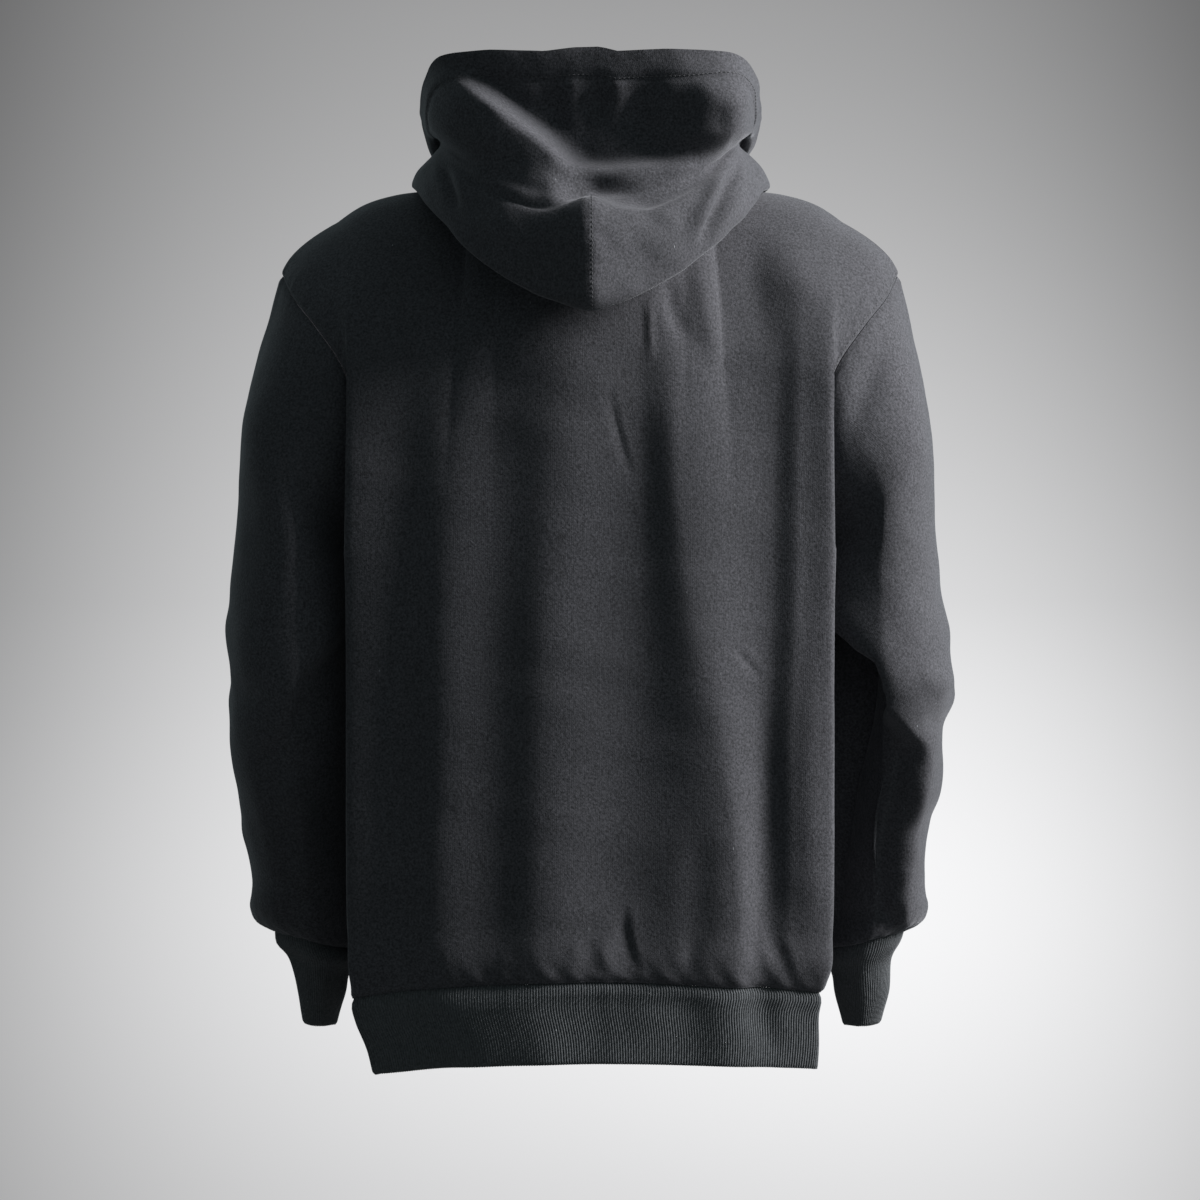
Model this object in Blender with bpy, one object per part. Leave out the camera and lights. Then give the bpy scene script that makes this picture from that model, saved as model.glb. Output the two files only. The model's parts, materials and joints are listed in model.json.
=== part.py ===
"""A black pullover hoodie in the hollow form that it keeps when it is worn, arms hanging, hood down.

Metres, +Z up. The wearer faces -Y, so +X is the wearer's left. The origin is where the wearer's
shoulders hold the hoodie: between the two neck points, on the shoulder line.

Every piece that is cut and sewn is one wall of cloth. Its outer face is a grid of points worked out
from the tables below; seen from outside, a grid's columns run left to right and its rows run down.
Sewn pieces share their seam's points and the direction of their cut edges, so seams are mitred,
and each edge is then drawn back by half of SEAM.
"""

import bpy
import numpy as np

CLOTH = 0.0020  # wall of the brushed sweatshirt fleece
RIB = 0.0026  # wall of the folded rib knit at the cuffs and hem
SEAM = 0.0006  # gap between two sewn edges
CREASE = 0.1  # two walls that lean towards one another by more than this meet in a crease
SHARP = 40.0  # edges bent by more degrees than this are shaded sharp

# Columns of the grids, and the rows above the underarm
NECK_STEPS = 8  # from the middle of the back, or of the front, to a neck point
SHOULDER_STEPS = 5  # from a neck point to the fold's line
FOLD_STEPS = 3  # from the fold's line to the armhole or side seam
ARMHOLE_STEPS = 8
FINE = 120  # points on a curve before it is divided evenly into a grid's steps


def table(names, *rows):
    """Rows of numbers as dicts that hold them under the columns' names."""
    return [dict(zip(names.split(), row, strict=True)) for row in rows]


SHOULDER_Y = -0.005  # the shoulder and side seams' place from front to back
SHOULDER_FALL = table(  # the shoulder seam, from the neck point out to the tip
    "x z",
    (0.098, 0.0030),
    (0.130, 0.0010),
    (0.160, -0.0025),
    (0.186, -0.0105),
    (0.208, -0.0249),
    (0.230, -0.0445),
    (0.254, -0.0700),
)

# The armhole seam of the left side, from the shoulder tip down to the underarm
SHOULDER_TIP = (0.254, SHOULDER_Y, -0.070)
UNDERARM = (0.168, SHOULDER_Y, -0.295)
ARMHOLE_BACK = table(
    "x y z",
    SHOULDER_TIP,
    (0.243, 0.030, -0.090),
    (0.222, 0.060, -0.116),
    (0.199, 0.077, -0.150),
    (0.185, 0.072, -0.200),
    (0.175, 0.042, -0.255),
    UNDERARM,
)
ARMHOLE_FRONT = table(
    "x y z",
    SHOULDER_TIP,
    (0.243, -0.042, -0.097),
    (0.220, -0.068, -0.132),
    (0.200, -0.078, -0.172),
    (0.186, -0.072, -0.220),
    (0.175, -0.045, -0.268),
    UNDERARM,
)

# The lines where the panels turn forwards, or backwards, to the armhole seam: a hanging edge at
# the back and a softer corner at the front, from the shoulder seam down to the underarm row
LINE_TOP = (0.2080, SHOULDER_Y, -0.0249)
FOLD_LINE = table(
    "x y z",
    LINE_TOP,
    (0.2060, 0.022, -0.038),
    (0.2010, 0.052, -0.068),
    (0.1970, 0.078, -0.108),
    (0.1960, 0.092, -0.150),
    (0.1970, 0.097, -0.200),
    (0.2000, 0.098, -0.295),
)
CORNER_LINE = table(
    "x y z",
    LINE_TOP,
    (0.2065, -0.034, -0.048),
    (0.2030, -0.062, -0.088),
    (0.1960, -0.078, -0.140),
    (0.1890, -0.084, -0.200),
    (0.1860, -0.086, -0.295),
)

# The body from the underarm down to the hem seam, then the band below it. fold is the hanging
# edge behind each arm, corner is the softer turn in front of it, and rise lifts the row's middle
# at the back.
BODY_COLUMNS = "z side fold fold_y back corner corner_y front rise"
BODY = table(
    BODY_COLUMNS,
    (-0.295, 0.168, 0.200, 0.098, 0.120, 0.188, -0.088, -0.130, 0.000),
    (-0.345, 0.166, 0.199, 0.097, 0.121, 0.187, -0.089, -0.132, 0.000),
    (-0.410, 0.165, 0.199, 0.095, 0.121, 0.187, -0.090, -0.133, 0.001),
    (-0.480, 0.164, 0.199, 0.093, 0.119, 0.186, -0.089, -0.131, 0.004),
    (-0.550, 0.165, 0.199, 0.090, 0.118, 0.186, -0.087, -0.128, 0.009),
    (-0.610, 0.166, 0.198, 0.087, 0.117, 0.186, -0.085, -0.126, 0.014),
    (-0.645, 0.167, 0.196, 0.085, 0.115, 0.184, -0.084, -0.124, 0.019),
    (-0.661, 0.164, 0.190, 0.079, 0.108, 0.178, -0.079, -0.117, 0.020),
)
HEM = BODY[-1:] + table(
    BODY_COLUMNS,
    (-0.690, 0.162, 0.186, 0.075, 0.105, 0.176, -0.076, -0.114, 0.017),
    (-0.720, 0.159, 0.181, 0.071, 0.101, 0.172, -0.073, -0.110, 0.014),
)
HEM_SHIFT = -0.006  # how far the band's lower edge has swung towards the wearer's right
SIDE_BOW = 1.8  # how hollow the sides are between the side seam and the fold
BACK_ROUND = 2.2  # how soon a row leaves its middle's depth on the way out to the fold
RISE_SPREAD = 1.6  # how far out the back's rise is carried
FOLD_ROUNDING = 0.006  # reach of the turn at the hanging edge, along each run
CORNER_ROUNDING = 0.016

# The soft upright folds of the back, ridges out and troughs in: where each is at its top and at
# the hem, its half width, its depth, and the height at which it starts.
DRAPES = table(
    "x_top x_hem reach depth start",
    (0.098, 0.112, 0.034, 0.0055, -0.150),
    (0.018, 0.022, 0.030, 0.0050, -0.190),
    (-0.075, -0.098, 0.034, 0.0065, -0.120),
    (0.140, 0.158, 0.024, -0.0050, -0.160),
    (0.052, 0.064, 0.026, -0.0045, -0.200),
    (-0.030, -0.036, 0.028, -0.0060, -0.180),
    (-0.132, -0.148, 0.026, -0.0070, -0.140),
)
DRAPE_GROWS = 0.10  # length over which a fold reaches its depth
DRAPE_TAKEN_IN = 0.05  # length above the hem seam over which the seam flattens it
DRAPE_LEFT = 0.25  # how much of it is left at the seam
DRAPE_FROM_Y = 0.03  # folds show only behind this, fully so from DRAPE_OVER_Y further back
DRAPE_OVER_Y = 0.05

# The sleeves and cuffs: outer edges of the left and right one, the inner edge, the middle and
# half depth from front to back, and how much higher the outer side of a ring is.
ARM_COLUMNS = "z left right inner y deep tilt"
SLEEVE = table(
    ARM_COLUMNS,
    (-0.245, 0.2850, 0.2790, 0.1900, 0.001, 0.0810, 0.055),
    (-0.302, 0.2890, 0.2840, 0.1840, 0.004, 0.0820, 0.028),
    (-0.345, 0.2950, 0.2880, 0.1825, 0.008, 0.0785, 0.012),
    (-0.380, 0.2960, 0.2930, 0.1820, 0.010, 0.0755, 0.004),
    (-0.408, 0.2935, 0.2975, 0.1830, 0.008, 0.0730, 0.000),
    (-0.440, 0.2955, 0.2905, 0.1820, 0.000, 0.0700, -0.002),
    (-0.492, 0.2900, 0.2885, 0.1810, -0.016, 0.0670, -0.004),
    (-0.520, 0.2860, 0.2785, 0.1820, -0.026, 0.0650, -0.004),
    (-0.570, 0.2795, 0.2770, 0.1860, -0.044, 0.0620, 0.002),
    (-0.598, 0.2815, 0.2805, 0.1890, -0.054, 0.0590, 0.005),
    (-0.610, 0.2770, 0.2760, 0.1930, -0.059, 0.0540, 0.007),
    (-0.618, 0.2640, 0.2630, 0.1960, -0.063, 0.0460, 0.008),
)
CUFF = SLEEVE[-1:] + table(
    ARM_COLUMNS,
    (-0.643, 0.2490, 0.2500, 0.1980, -0.071, 0.0420, 0.005),
    (-0.668, 0.2450, 0.2490, 0.2000, -0.081, 0.0410, 0.003),
    (-0.692, 0.2400, 0.2430, 0.2050, -0.090, 0.0385, 0.002),
)
PINCH = 1.4  # how pointed an arm's inner side is, 1 being an ellipse

# The hood lies back round the neck. Rings run from the neck seam, up its stand, out and down to
# the pouch's bottom fold, and up the outer wall to the rim. square and point shape a ring's back
# and front in plan, 2 being an ellipse. flat is how far out a ring keeps its middle's height at
# the back, and fall how soon it leaves its side's height towards the throat.
HOOD = table(
    "half back front z_back z_side z_front square point flat fall",
    (0.0980, 0.056, -0.094, -0.008, 0.003, -0.074, 2.0, 2.0, 2.0, 1.6),
    (0.1030, 0.066, -0.098, 0.008, 0.015, -0.070, 2.0, 1.9, 2.0, 1.6),
    (0.1210, 0.103, -0.102, -0.026, 0.014, -0.068, 2.0, 1.8, 2.0, 1.7),
    (0.1380, 0.144, -0.106, -0.098, 0.004, -0.066, 2.0, 1.7, 2.1, 1.9),
    (0.1450, 0.163, -0.108, -0.105, 0.002, -0.064, 2.0, 1.7, 2.0, 1.9),
    (0.1440, 0.172, -0.108, -0.072, 0.013, -0.062, 2.0, 1.7, 2.2, 1.8),
    (0.1310, 0.166, -0.107, -0.029, 0.029, -0.060, 2.0, 1.7, 2.4, 1.7),
    (0.1240, 0.142, -0.106, -0.020, 0.036, -0.058, 2.3, 1.7, 2.6, 1.6),
    (0.1330, 0.128, -0.107, 0.042, 0.045, -0.055, 3.2, 1.7, 5.0, 1.4),
    (0.1385, 0.121, -0.108, 0.102, 0.058, -0.050, 3.6, 1.7, 24.0, 1.2),
)

# How the panels' columns leave the top edge and arrive at the underarm row
LEAVE_FALL = -0.12  # how steeply they leave the shoulder seam
NECK_FALL = -0.55  # how much more steeply they leave the neckline
NECK_BLEND = 5.0  # how quickly one turns into the other at the neck point
LEAVE = 0.25  # strength of the top's direction
ARRIVE = 0.30  # strength of the hanging direction below
LINE_PULL = 2.5  # how closely only the outermost columns follow the fold's line

SLOTS = {  # colour and roughness of each cloth
    "fleece": dict(color=(0.018, 0.018, 0.020, 1.0), roughness=0.90),
    "rib": dict(color=(0.022, 0.023, 0.025, 1.0), roughness=0.86),
}


def column(table, name):
    return np.array([row[name] for row in table])


def through(keys, values, at):
    """Points at `at` on the smooth curve that has `values` at `keys`."""
    keys, values, at = (np.asarray(a, float) for a in (keys, values, at))
    flat = values.reshape(len(keys), -1)
    slopes = np.gradient(flat, keys, axis=0)
    i = np.clip(np.searchsorted(keys, at, side="right") - 1, 0, len(keys) - 2)
    span = (keys[i + 1] - keys[i])[:, None]
    t = (at - keys[i])[:, None] / span
    start, end = flat[i], flat[i + 1]
    leave, arrive = slopes[i] * span, slopes[i + 1] * span
    smooth = (
        start * (1 + 2 * t) * (1 - t) ** 2
        + leave * t * (1 - t) ** 2
        + end * t * t * (3 - 2 * t)
        + arrive * t * t * (t - 1)
    )
    return smooth.reshape((len(at),) + values.shape[1:])


def lengths(line):
    """The distance along a line at each of its points."""
    steps = np.linalg.norm(np.diff(line, axis=0), axis=1)
    return np.concatenate([[0.0], np.cumsum(steps)])


def evenly(line, count):
    """`count` points spaced evenly along a line."""
    along = lengths(line)
    at = np.linspace(0, along[-1], count)
    return np.stack([np.interp(at, along, line[:, k]) for k in range(line.shape[1])], axis=1)


def rounded(first, second, reach):
    """Two runs of points that meet at a corner, turned into two that meet in the middle of a bend
    that starts and ends `reach` from it."""
    first_kept = first[lengths(first) < lengths(first)[-1] - reach]
    second_kept = second[lengths(second) > reach]
    half = 6  # points in each half of the bend
    t = np.linspace(0, 1, 2 * half + 1)[:, None]
    bend = first_kept[-1] * (1 - t) ** 2 + 2 * first[-1] * t * (1 - t) + second_kept[0] * t * t
    start = np.concatenate([first_kept[:-1], bend[: half + 1]])
    return start, np.concatenate([bend[half:], second_kept[1:]])


def mirrored(line):
    """The same points on the wearer's other side."""
    return line * np.array([-1.0, 1.0, 1.0])


def both_sides(half):
    """A row from the left side to the middle, carried on to the right side."""
    return np.concatenate([half, mirrored(half[-2::-1])])


def body_half(row, rear):
    """Half of a body row at the back or the front, from the left side seam to the middle."""
    turn = "fold" if rear else "corner"
    x, y = row[turn], row[turn + "_y"]
    middle = row["back"] if rear else row["front"]
    t = np.linspace(0, 1, FINE)
    run_x = row["side"] + (x - row["side"]) * t**SIDE_BOW
    side = np.stack([run_x, SHOULDER_Y + (y - SHOULDER_Y) * t], axis=1)
    flat = np.stack([x * (1 - t), middle - (middle - y) * (1 - t) ** BACK_ROUND], axis=1)
    side, flat = rounded(side, flat, FOLD_ROUNDING if rear else CORNER_ROUNDING)
    side = evenly(side, FOLD_STEPS + 1)
    flat = evenly(flat, NECK_STEPS + SHOULDER_STEPS + 1)
    plan = np.concatenate([side, flat[1:]])
    share = 1 - lengths(plan) / lengths(plan)[-1]  # 1 at the side seam, 0 in the middle
    rise = row["rise"] * (1 - share**RISE_SPREAD) if rear else np.zeros(len(plan))
    return np.column_stack([plan, row["z"] + rise])


def body_rows(table, rear):
    return np.array([both_sides(body_half(row, rear)) for row in table])


def drape(points):
    """The back's rows with its upright folds."""
    moved = points.copy()
    x, z = points[..., 0], points[..., 2]
    behind = np.clip((points[..., 1] - DRAPE_FROM_Y) / DRAPE_OVER_Y, 0, 1)
    low = BODY[-1]["z"]
    for fold in DRAPES:
        down = np.clip((fold["start"] - z) / (fold["start"] - low), 0, 1)
        middle = fold["x_top"] + (fold["x_hem"] - fold["x_top"]) * down
        fades = np.clip((fold["start"] - z) / DRAPE_GROWS, 0, 1)
        fades = fades * np.clip((z - low) / DRAPE_TAKEN_IN, DRAPE_LEFT, 1)
        bell = np.exp(-(((x - middle) / fold["reach"]) ** 2))
        moved[..., 1] += fold["depth"] * fades * bell * behind
    return moved


def hood_quarter(row, rear):
    """A quarter of a hood ring, from the middle of the back or the front to the left side."""
    angle = np.linspace(0, np.pi / 2, FINE)
    power = 2 / (row["square"] if rear else row["point"])
    end = "back" if rear else "front"
    middle, height = row[end], row["z_" + end]
    out, away = np.sin(angle) ** power, np.cos(angle) ** power
    share = 1 - out ** row["flat"] if rear else np.cos(angle) ** row["fall"]
    x = row["half"] * out
    y = SHOULDER_Y + (middle - SHOULDER_Y) * away
    z = row["z_side"] + (height - row["z_side"]) * share
    return evenly(np.column_stack([x, y, z]), NECK_STEPS + 1)


def curve(table, steps):
    """A table's x, y and z as a smooth line of evenly spaced points."""
    points = np.column_stack([column(table, name) for name in "xyz"])
    keys = lengths(points)
    return evenly(through(keys, points, np.linspace(0, keys[-1], FINE)), steps + 1)


def inner_top(line, rear):
    """The left half of a panel's top inside the fold's line: the shoulder seam, then the neckline."""
    fall = [dict(row, y=SHOULDER_Y) for row in SHOULDER_FALL]
    seam = curve(fall, 4 * FINE)[::-1]
    seam = np.concatenate([line[:1], seam[seam[:, 0] < line[0, 0] - 1e-4]])
    neck = hood_quarter(HOOD[0], rear)[::-1]
    return np.concatenate([evenly(seam, SHOULDER_STEPS + 1), neck[1:]])


def yoke(rear):
    """A panel from its top down to the underarm row. Between the fold's line and the middle, each
    column leaves the top level and arrives hanging, and outside it the rows run across to the
    armhole seam."""
    out = 1.0 if rear else -1.0
    line = curve(FOLD_LINE if rear else CORNER_LINE, ARMHOLE_STEPS)
    edge = curve(ARMHOLE_BACK if rear else ARMHOLE_FRONT, ARMHOLE_STEPS)
    under = body_rows(BODY[:1], rear)[0]
    line += (under[FOLD_STEPS] - line[-1]) * np.linspace(0, 1, len(line))[:, None] ** 2
    top = inner_top(line, rear)
    share = np.linspace(1, 0, len(top))  # 1 at the fold's line, 0 in the middle
    in_neck = np.clip((NECK_STEPS / (len(top) - 1) - share) * NECK_BLEND, 0, 1)
    leave = np.zeros_like(top)
    leave[:, 1], leave[:, 2] = out, LEAVE_FALL + NECK_FALL * in_neck
    leave *= LEAVE / np.linalg.norm(leave, axis=1)[:, None]
    arrive = np.array([0.0, 0.0, -ARRIVE])
    t = np.linspace(0, 1, ARMHOLE_STEPS + 1)[:, None, None]
    inside = (
        top * (1 + 2 * t) * (1 - t) ** 2
        + leave * t * (1 - t) ** 2
        + under[FOLD_STEPS : FOLD_STEPS + len(top)] * t * t * (3 - 2 * t)
        + arrive * t * t * (t - 1)
    )
    inside += (share[None, :, None] ** LINE_PULL) * (line - inside[:, 0])[:, None]
    across = np.linspace(0, 1, FOLD_STEPS + 1)[:-1, None] ** np.array([SIDE_BOW, 1, 1])
    strip = edge[:, None] * (1 - across) + line[:, None] * across
    strip[-1] = under[:FOLD_STEPS]
    left = np.concatenate([strip, inside], axis=1)
    return np.concatenate([left, mirrored(left[:, -2::-1])], axis=1)


def panel(rear):
    """The back or the front, from the shoulder seams and neckline down to the hem seam."""
    rows = np.concatenate([yoke(rear), body_rows(BODY[1:], rear)])
    return drape(rows) if rear else rows[:, ::-1]


def hem_band(back, front):
    """The rib below the body, all round, from the body's last rows."""
    behind, before = body_rows(HEM, True), body_rows(HEM, False)[:, ::-1]
    behind[0], before[0] = back[-1], front[-1]
    rows = np.concatenate([behind, before[:, 1:-1]], axis=1)
    rows[..., 0] += HEM_SHIFT * np.linspace(0, 1, len(rows))[:, None]
    return rows


def arm_ring(row, outer):
    """A ring of a sleeve or cuff round the left arm, from its outer side round the back."""
    angle = np.linspace(0, 2 * np.pi, FINE + 1)
    middle, half = (row[outer] + row["inner"]) / 2, (row[outer] - row["inner"]) / 2
    outwards = np.cos(angle)
    across = np.where(outwards > 0, outwards, -(np.abs(outwards) ** PINCH))
    x = middle + half * across
    y = row["y"] + row["deep"] * np.sin(angle)
    z = row["z"] + row["tilt"] * outwards
    return evenly(np.column_stack([x, y, z]), 2 * ARMHOLE_STEPS + 1)[:-1]


def arm_pieces(outer):
    """The sleeve and cuff of one arm, as for the left side."""
    back, front = curve(ARMHOLE_BACK, ARMHOLE_STEPS), curve(ARMHOLE_FRONT, ARMHOLE_STEPS)
    loop = np.concatenate([back, front[-2:0:-1]])
    sleeve = np.array([loop] + [arm_ring(row, outer) for row in SLEEVE])
    return sleeve, np.array([arm_ring(row, outer) for row in CUFF])


def hood_half():
    """The hood's left panel, from the rim to the neck seam, and from the throat to the back, with
    a smooth row between each two of the table."""
    halves = [(hood_quarter(row, False), hood_quarter(row, True)) for row in HOOD[::-1]]
    rings = np.array([np.concatenate([front, back[-2::-1]]) for front, back in halves])
    keys = lengths(rings[:, -1])
    between = (keys[1:] + keys[:-1]) / 2
    return through(keys, rings, np.sort(np.concatenate([keys, between])))


def normals(grid, closed):
    """The outward direction at each point of a grid."""
    if closed:
        across = np.roll(grid, -1, axis=1) - np.roll(grid, 1, axis=1)
    else:
        across = np.gradient(grid, axis=1)
    down = np.gradient(grid, axis=0)
    n = np.cross(down, across)
    return n / np.linalg.norm(n, axis=2)[..., None]


def edge_places(grid, closed):
    """Each point of a piece's cut edges, with the direction from it into the piece."""
    next_in = {0: 1, -1: -2}  # from the first or last row or column
    rows, columns = grid.shape[:2]
    places = {}
    for i in next_in:
        into = grid[next_in[i]] - grid[i]
        for j in range(columns):
            places[(i % rows, j)] = into[j]
    for j in () if closed else next_in:
        into = grid[:, next_in[j]] - grid[:, j]
        for i in range(rows):
            place = (i, j % columns)
            places[place] = places.get(place, 0) + into[i]
    return {place: into / np.linalg.norm(into) for place, into in places.items()}


def fit_edges(pieces):
    """Draws every cut edge back from its seam. Walls that meet at a ridge share the direction of
    their edges, and walls that meet in a crease keep their own and part a little further."""
    met = {}
    for piece in pieces:
        for place, into in edge_places(piece["grid"], piece["closed"]).items():
            key = tuple(np.round(piece["grid"][place] * 1e4).astype(int))
            met.setdefault(key, []).append((piece, place, into, piece["normals"][place].copy()))
    for joined in met.values():
        for piece, place, into, normal in joined:
            total, pull = normal.copy(), into * SEAM / 2
            for other, _, other_into, other_normal in joined:
                if other is piece:
                    continue
                if normal @ other_into + other_normal @ into > CREASE:
                    pull -= normal * SEAM / 2 * (1 + into @ other_into)
                else:
                    total += other_normal
            piece["grid"][place] += pull
            piece["normals"][place] = total / np.linalg.norm(total)


def cloth_object(piece, collection):
    """A wall of cloth: its outer face, its inner face and its cut edges."""
    grid, closed = piece["grid"], piece["closed"]
    rows, columns = grid.shape[:2]
    inside = grid - piece["normals"] * piece["wall"]
    index = np.arange(rows * columns).reshape(rows, columns)
    if closed:
        index = np.concatenate([index, index[:, :1]], axis=1)
    under = index + rows * columns
    quads = []
    for face, other in ((index, False), (under, True)):
        a, b, c, d = face[:-1, :-1], face[1:, :-1], face[1:, 1:], face[:-1, 1:]
        ring = (d, c, b, a) if other else (a, b, c, d)
        quads += np.stack(ring, axis=-1).reshape(-1, 4).tolist()
    edges = [(index[0], under[0]), (index[-1][::-1], under[-1][::-1])]
    if not closed:
        edges += [(index[::-1, 0], under[::-1, 0]), (index[:, -1], under[:, -1])]
    for top, bottom in edges:
        quads += np.stack([top[:-1], top[1:], bottom[1:], bottom[:-1]], axis=-1).tolist()
    mesh = bpy.data.meshes.new(piece["name"])
    points = np.concatenate([grid.reshape(-1, 3), inside.reshape(-1, 3)])
    mesh.from_pydata(points.tolist(), [], quads)
    mesh.materials.append(material(piece["slot"]))
    mesh.shade_smooth()
    mesh.set_sharp_from_angle(angle=np.radians(SHARP))
    thing = bpy.data.objects.new(piece["name"], mesh)
    collection.objects.link(thing)
    return thing


def material(slot):
    found = bpy.data.materials.get(slot)
    if found:
        return found
    made = bpy.data.materials.new(slot)
    made.use_nodes = True
    shader = made.node_tree.nodes["Principled BSDF"]
    shader.inputs["Base Color"].default_value = SLOTS[slot]["color"]
    shader.inputs["Roughness"].default_value = SLOTS[slot]["roughness"]
    shader.inputs["Metallic"].default_value = 0.0
    return made


def piece(name, grid, closed=False, slot="fleece", wall=CLOTH):
    made = dict(name=name, grid=grid, closed=closed, slot=slot, wall=wall)
    made["normals"] = normals(grid, closed)
    return made


def make_pieces():
    back, front = panel(True), panel(False)
    left_sleeve, left_cuff = arm_pieces("left")
    right_sleeve, right_cuff = (mirrored(g)[:, ::-1] for g in arm_pieces("right"))
    hood = hood_half()
    rib = dict(closed=True, slot="rib", wall=RIB)
    return [
        piece("back_panel", back),
        piece("front_panel", front),
        piece("sleeve_left", left_sleeve, closed=True),
        piece("sleeve_right", right_sleeve, closed=True),
        piece("cuff_left", left_cuff, **rib),
        piece("cuff_right", right_cuff, **rib),
        piece("hem_band", hem_band(back, front), **rib),
        piece("hood_left", hood),
        piece("hood_right", mirrored(hood)[:, ::-1]),
    ]


def main():
    for thing in list(bpy.data.objects):
        bpy.data.objects.remove(thing)
    hoodie = bpy.data.collections.new("pullover_hoodie")
    bpy.context.scene.collection.children.link(hoodie)
    pieces = make_pieces()
    fit_edges(pieces)
    for made in pieces:
        cloth_object(made, hoodie)


main()
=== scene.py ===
"""The looks of the pullover hoodie: each cut piece of cloth as a fine shell on its CAD solid's form,
with soft folds, rib knit, stitches, black brushed fleece and plain studio light.

Metres, +Z up; the rows of most tables are in millimetres. The wearer faces -Y and the camera
looks at the back, along -Y, so the wearer's left, +X, is on the picture's left. Grids run left to
right and down, seen from outside.
"""

import json

import bpy
import numpy as np
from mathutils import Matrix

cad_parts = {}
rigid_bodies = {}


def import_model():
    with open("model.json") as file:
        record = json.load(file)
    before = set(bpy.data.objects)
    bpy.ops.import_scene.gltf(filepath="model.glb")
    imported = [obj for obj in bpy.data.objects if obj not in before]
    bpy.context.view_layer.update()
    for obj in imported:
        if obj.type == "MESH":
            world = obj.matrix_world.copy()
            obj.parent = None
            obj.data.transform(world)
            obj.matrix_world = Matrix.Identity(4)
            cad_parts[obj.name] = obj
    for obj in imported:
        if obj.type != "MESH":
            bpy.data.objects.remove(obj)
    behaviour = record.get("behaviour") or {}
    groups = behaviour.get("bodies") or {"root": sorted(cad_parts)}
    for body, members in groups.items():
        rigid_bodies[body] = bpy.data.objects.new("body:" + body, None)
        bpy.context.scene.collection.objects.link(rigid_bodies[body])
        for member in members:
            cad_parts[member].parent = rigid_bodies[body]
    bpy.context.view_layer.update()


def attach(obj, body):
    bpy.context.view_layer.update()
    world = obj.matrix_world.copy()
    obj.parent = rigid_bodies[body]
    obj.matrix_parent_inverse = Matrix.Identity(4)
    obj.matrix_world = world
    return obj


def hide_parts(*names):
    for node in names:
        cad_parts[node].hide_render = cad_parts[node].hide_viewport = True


FLEECE_WALL = 0.0020
RIB_WALL = 0.0026
CUT = (0.0008, 0.0018, 0.0032)  # rows close to a cut edge, by their distance from it
STEP = 0.0034  # between rows elsewhere
HEM_STEP, HOOD_STEP = 0.0040, 0.0028
FINE = 240  # points on a curve before it is divided


def table(names, *rows):
    """Rows of numbers as dicts that hold them under the columns' names."""
    return [dict(zip(names.split(), row, strict=True)) for row in rows]


def millimetres(names, *rows):
    """A table in metres, from rows in millimetres."""
    return table(names, *(np.array(row) / 1000 for row in rows))


def folds(*rows):
    """A table of folds, from rows in millimetres, with alike flanks where a row gives no skew."""
    full = [(*np.array(row[:7]) / 1000, *(row[7:] or (0.0,))) for row in rows]
    return table("a0 z0 a1 z1 bow width depth skew", *full)


def hood_rings(*rows):
    """The hood's rings, from rows in millimetres that end with four powers for their shape."""
    names = "half back front z_back z_side z_front square point flat fall"
    return table(names, *((*np.array(row[:6]) / 1000, *row[6:]) for row in rows))


def upright(*rows):
    """The lines of upright folds by height, from rows in millimetres with the folds' strength."""
    return table("z share xs", *((z / 1000, share, np.array(xs) / 1000) for z, share, xs in rows))


# ---- the form, as the CAD has it

SHOULDER_Y = -0.005
SHOULDER_FALL = millimetres(
    "x z",
    (98, 3), (130, 1), (160, -2.5), (186, -10.5), (208, -24.9), (230, -44.5), (254, -70),
)
SHOULDER_TIP = (254, -5, -70)
UNDERARM = (168, -5, -295)
ARMHOLE_BACK = millimetres(
    "x y z",
    SHOULDER_TIP, (243, 30, -90), (222, 60, -116), (199, 77, -150), (185, 72, -200),
    (175, 42, -255), UNDERARM,
)
ARMHOLE_FRONT = millimetres(
    "x y z",
    SHOULDER_TIP, (243, -42, -97), (220, -68, -132), (200, -78, -172), (186, -72, -220),
    (175, -45, -268), UNDERARM,
)
LINE_TOP = (208, -5, -24.9)
FOLD_LINE = millimetres(
    "x y z",
    LINE_TOP, (206, 22, -38), (201, 52, -68), (197, 78, -108), (196, 92, -150), (197, 97, -200),
    (200, 98, -295),
)
CORNER_LINE = millimetres(
    "x y z",
    LINE_TOP, (206.5, -34, -48), (203, -62, -88), (196, -78, -140), (189, -84, -200),
    (186, -86, -295),
)
BODY_COLUMNS = "z side fold fold_y back corner corner_y front rise"
BODY = millimetres(
    BODY_COLUMNS,
    (-295, 168, 200, 98, 120, 188, -88, -130, 0),
    (-345, 166, 199, 97, 121, 187, -89, -132, 0),
    (-410, 165, 199, 95, 121, 187, -90, -133, 1),
    (-480, 164, 199, 93, 119, 186, -89, -131, 4),
    (-550, 165, 199, 90, 118, 186, -87, -128, 9),
    (-610, 166, 198, 87, 117.8, 186, -85, -126, 14),
    (-645, 167, 196, 85, 118.5, 184, -84, -124, 19),
    (-661, 164, 190, 79, 117, 178, -79, -117, 20),
)
HEM = BODY[-1:] + millimetres(
    BODY_COLUMNS,
    (-690, 162, 186, 75, 116.2, 176, -76, -114, 17),
    (-720, 159, 181, 71, 116, 172, -73, -110, 14),
)
HEM_SHIFT = -0.006  # how far the band's lower edge has swung to the wearer's right
SIDE_BOW, BACK_ROUND, RISE_SPREAD = 1.8, 2.2, 1.6  # powers in a body row's plan and its rise
FOLD_ROUNDING, CORNER_ROUNDING = 0.009, 0.020  # reach of the bend at the fold's and the corner's line
ARM_COLUMNS = "z left right inner y deep tilt"
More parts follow.
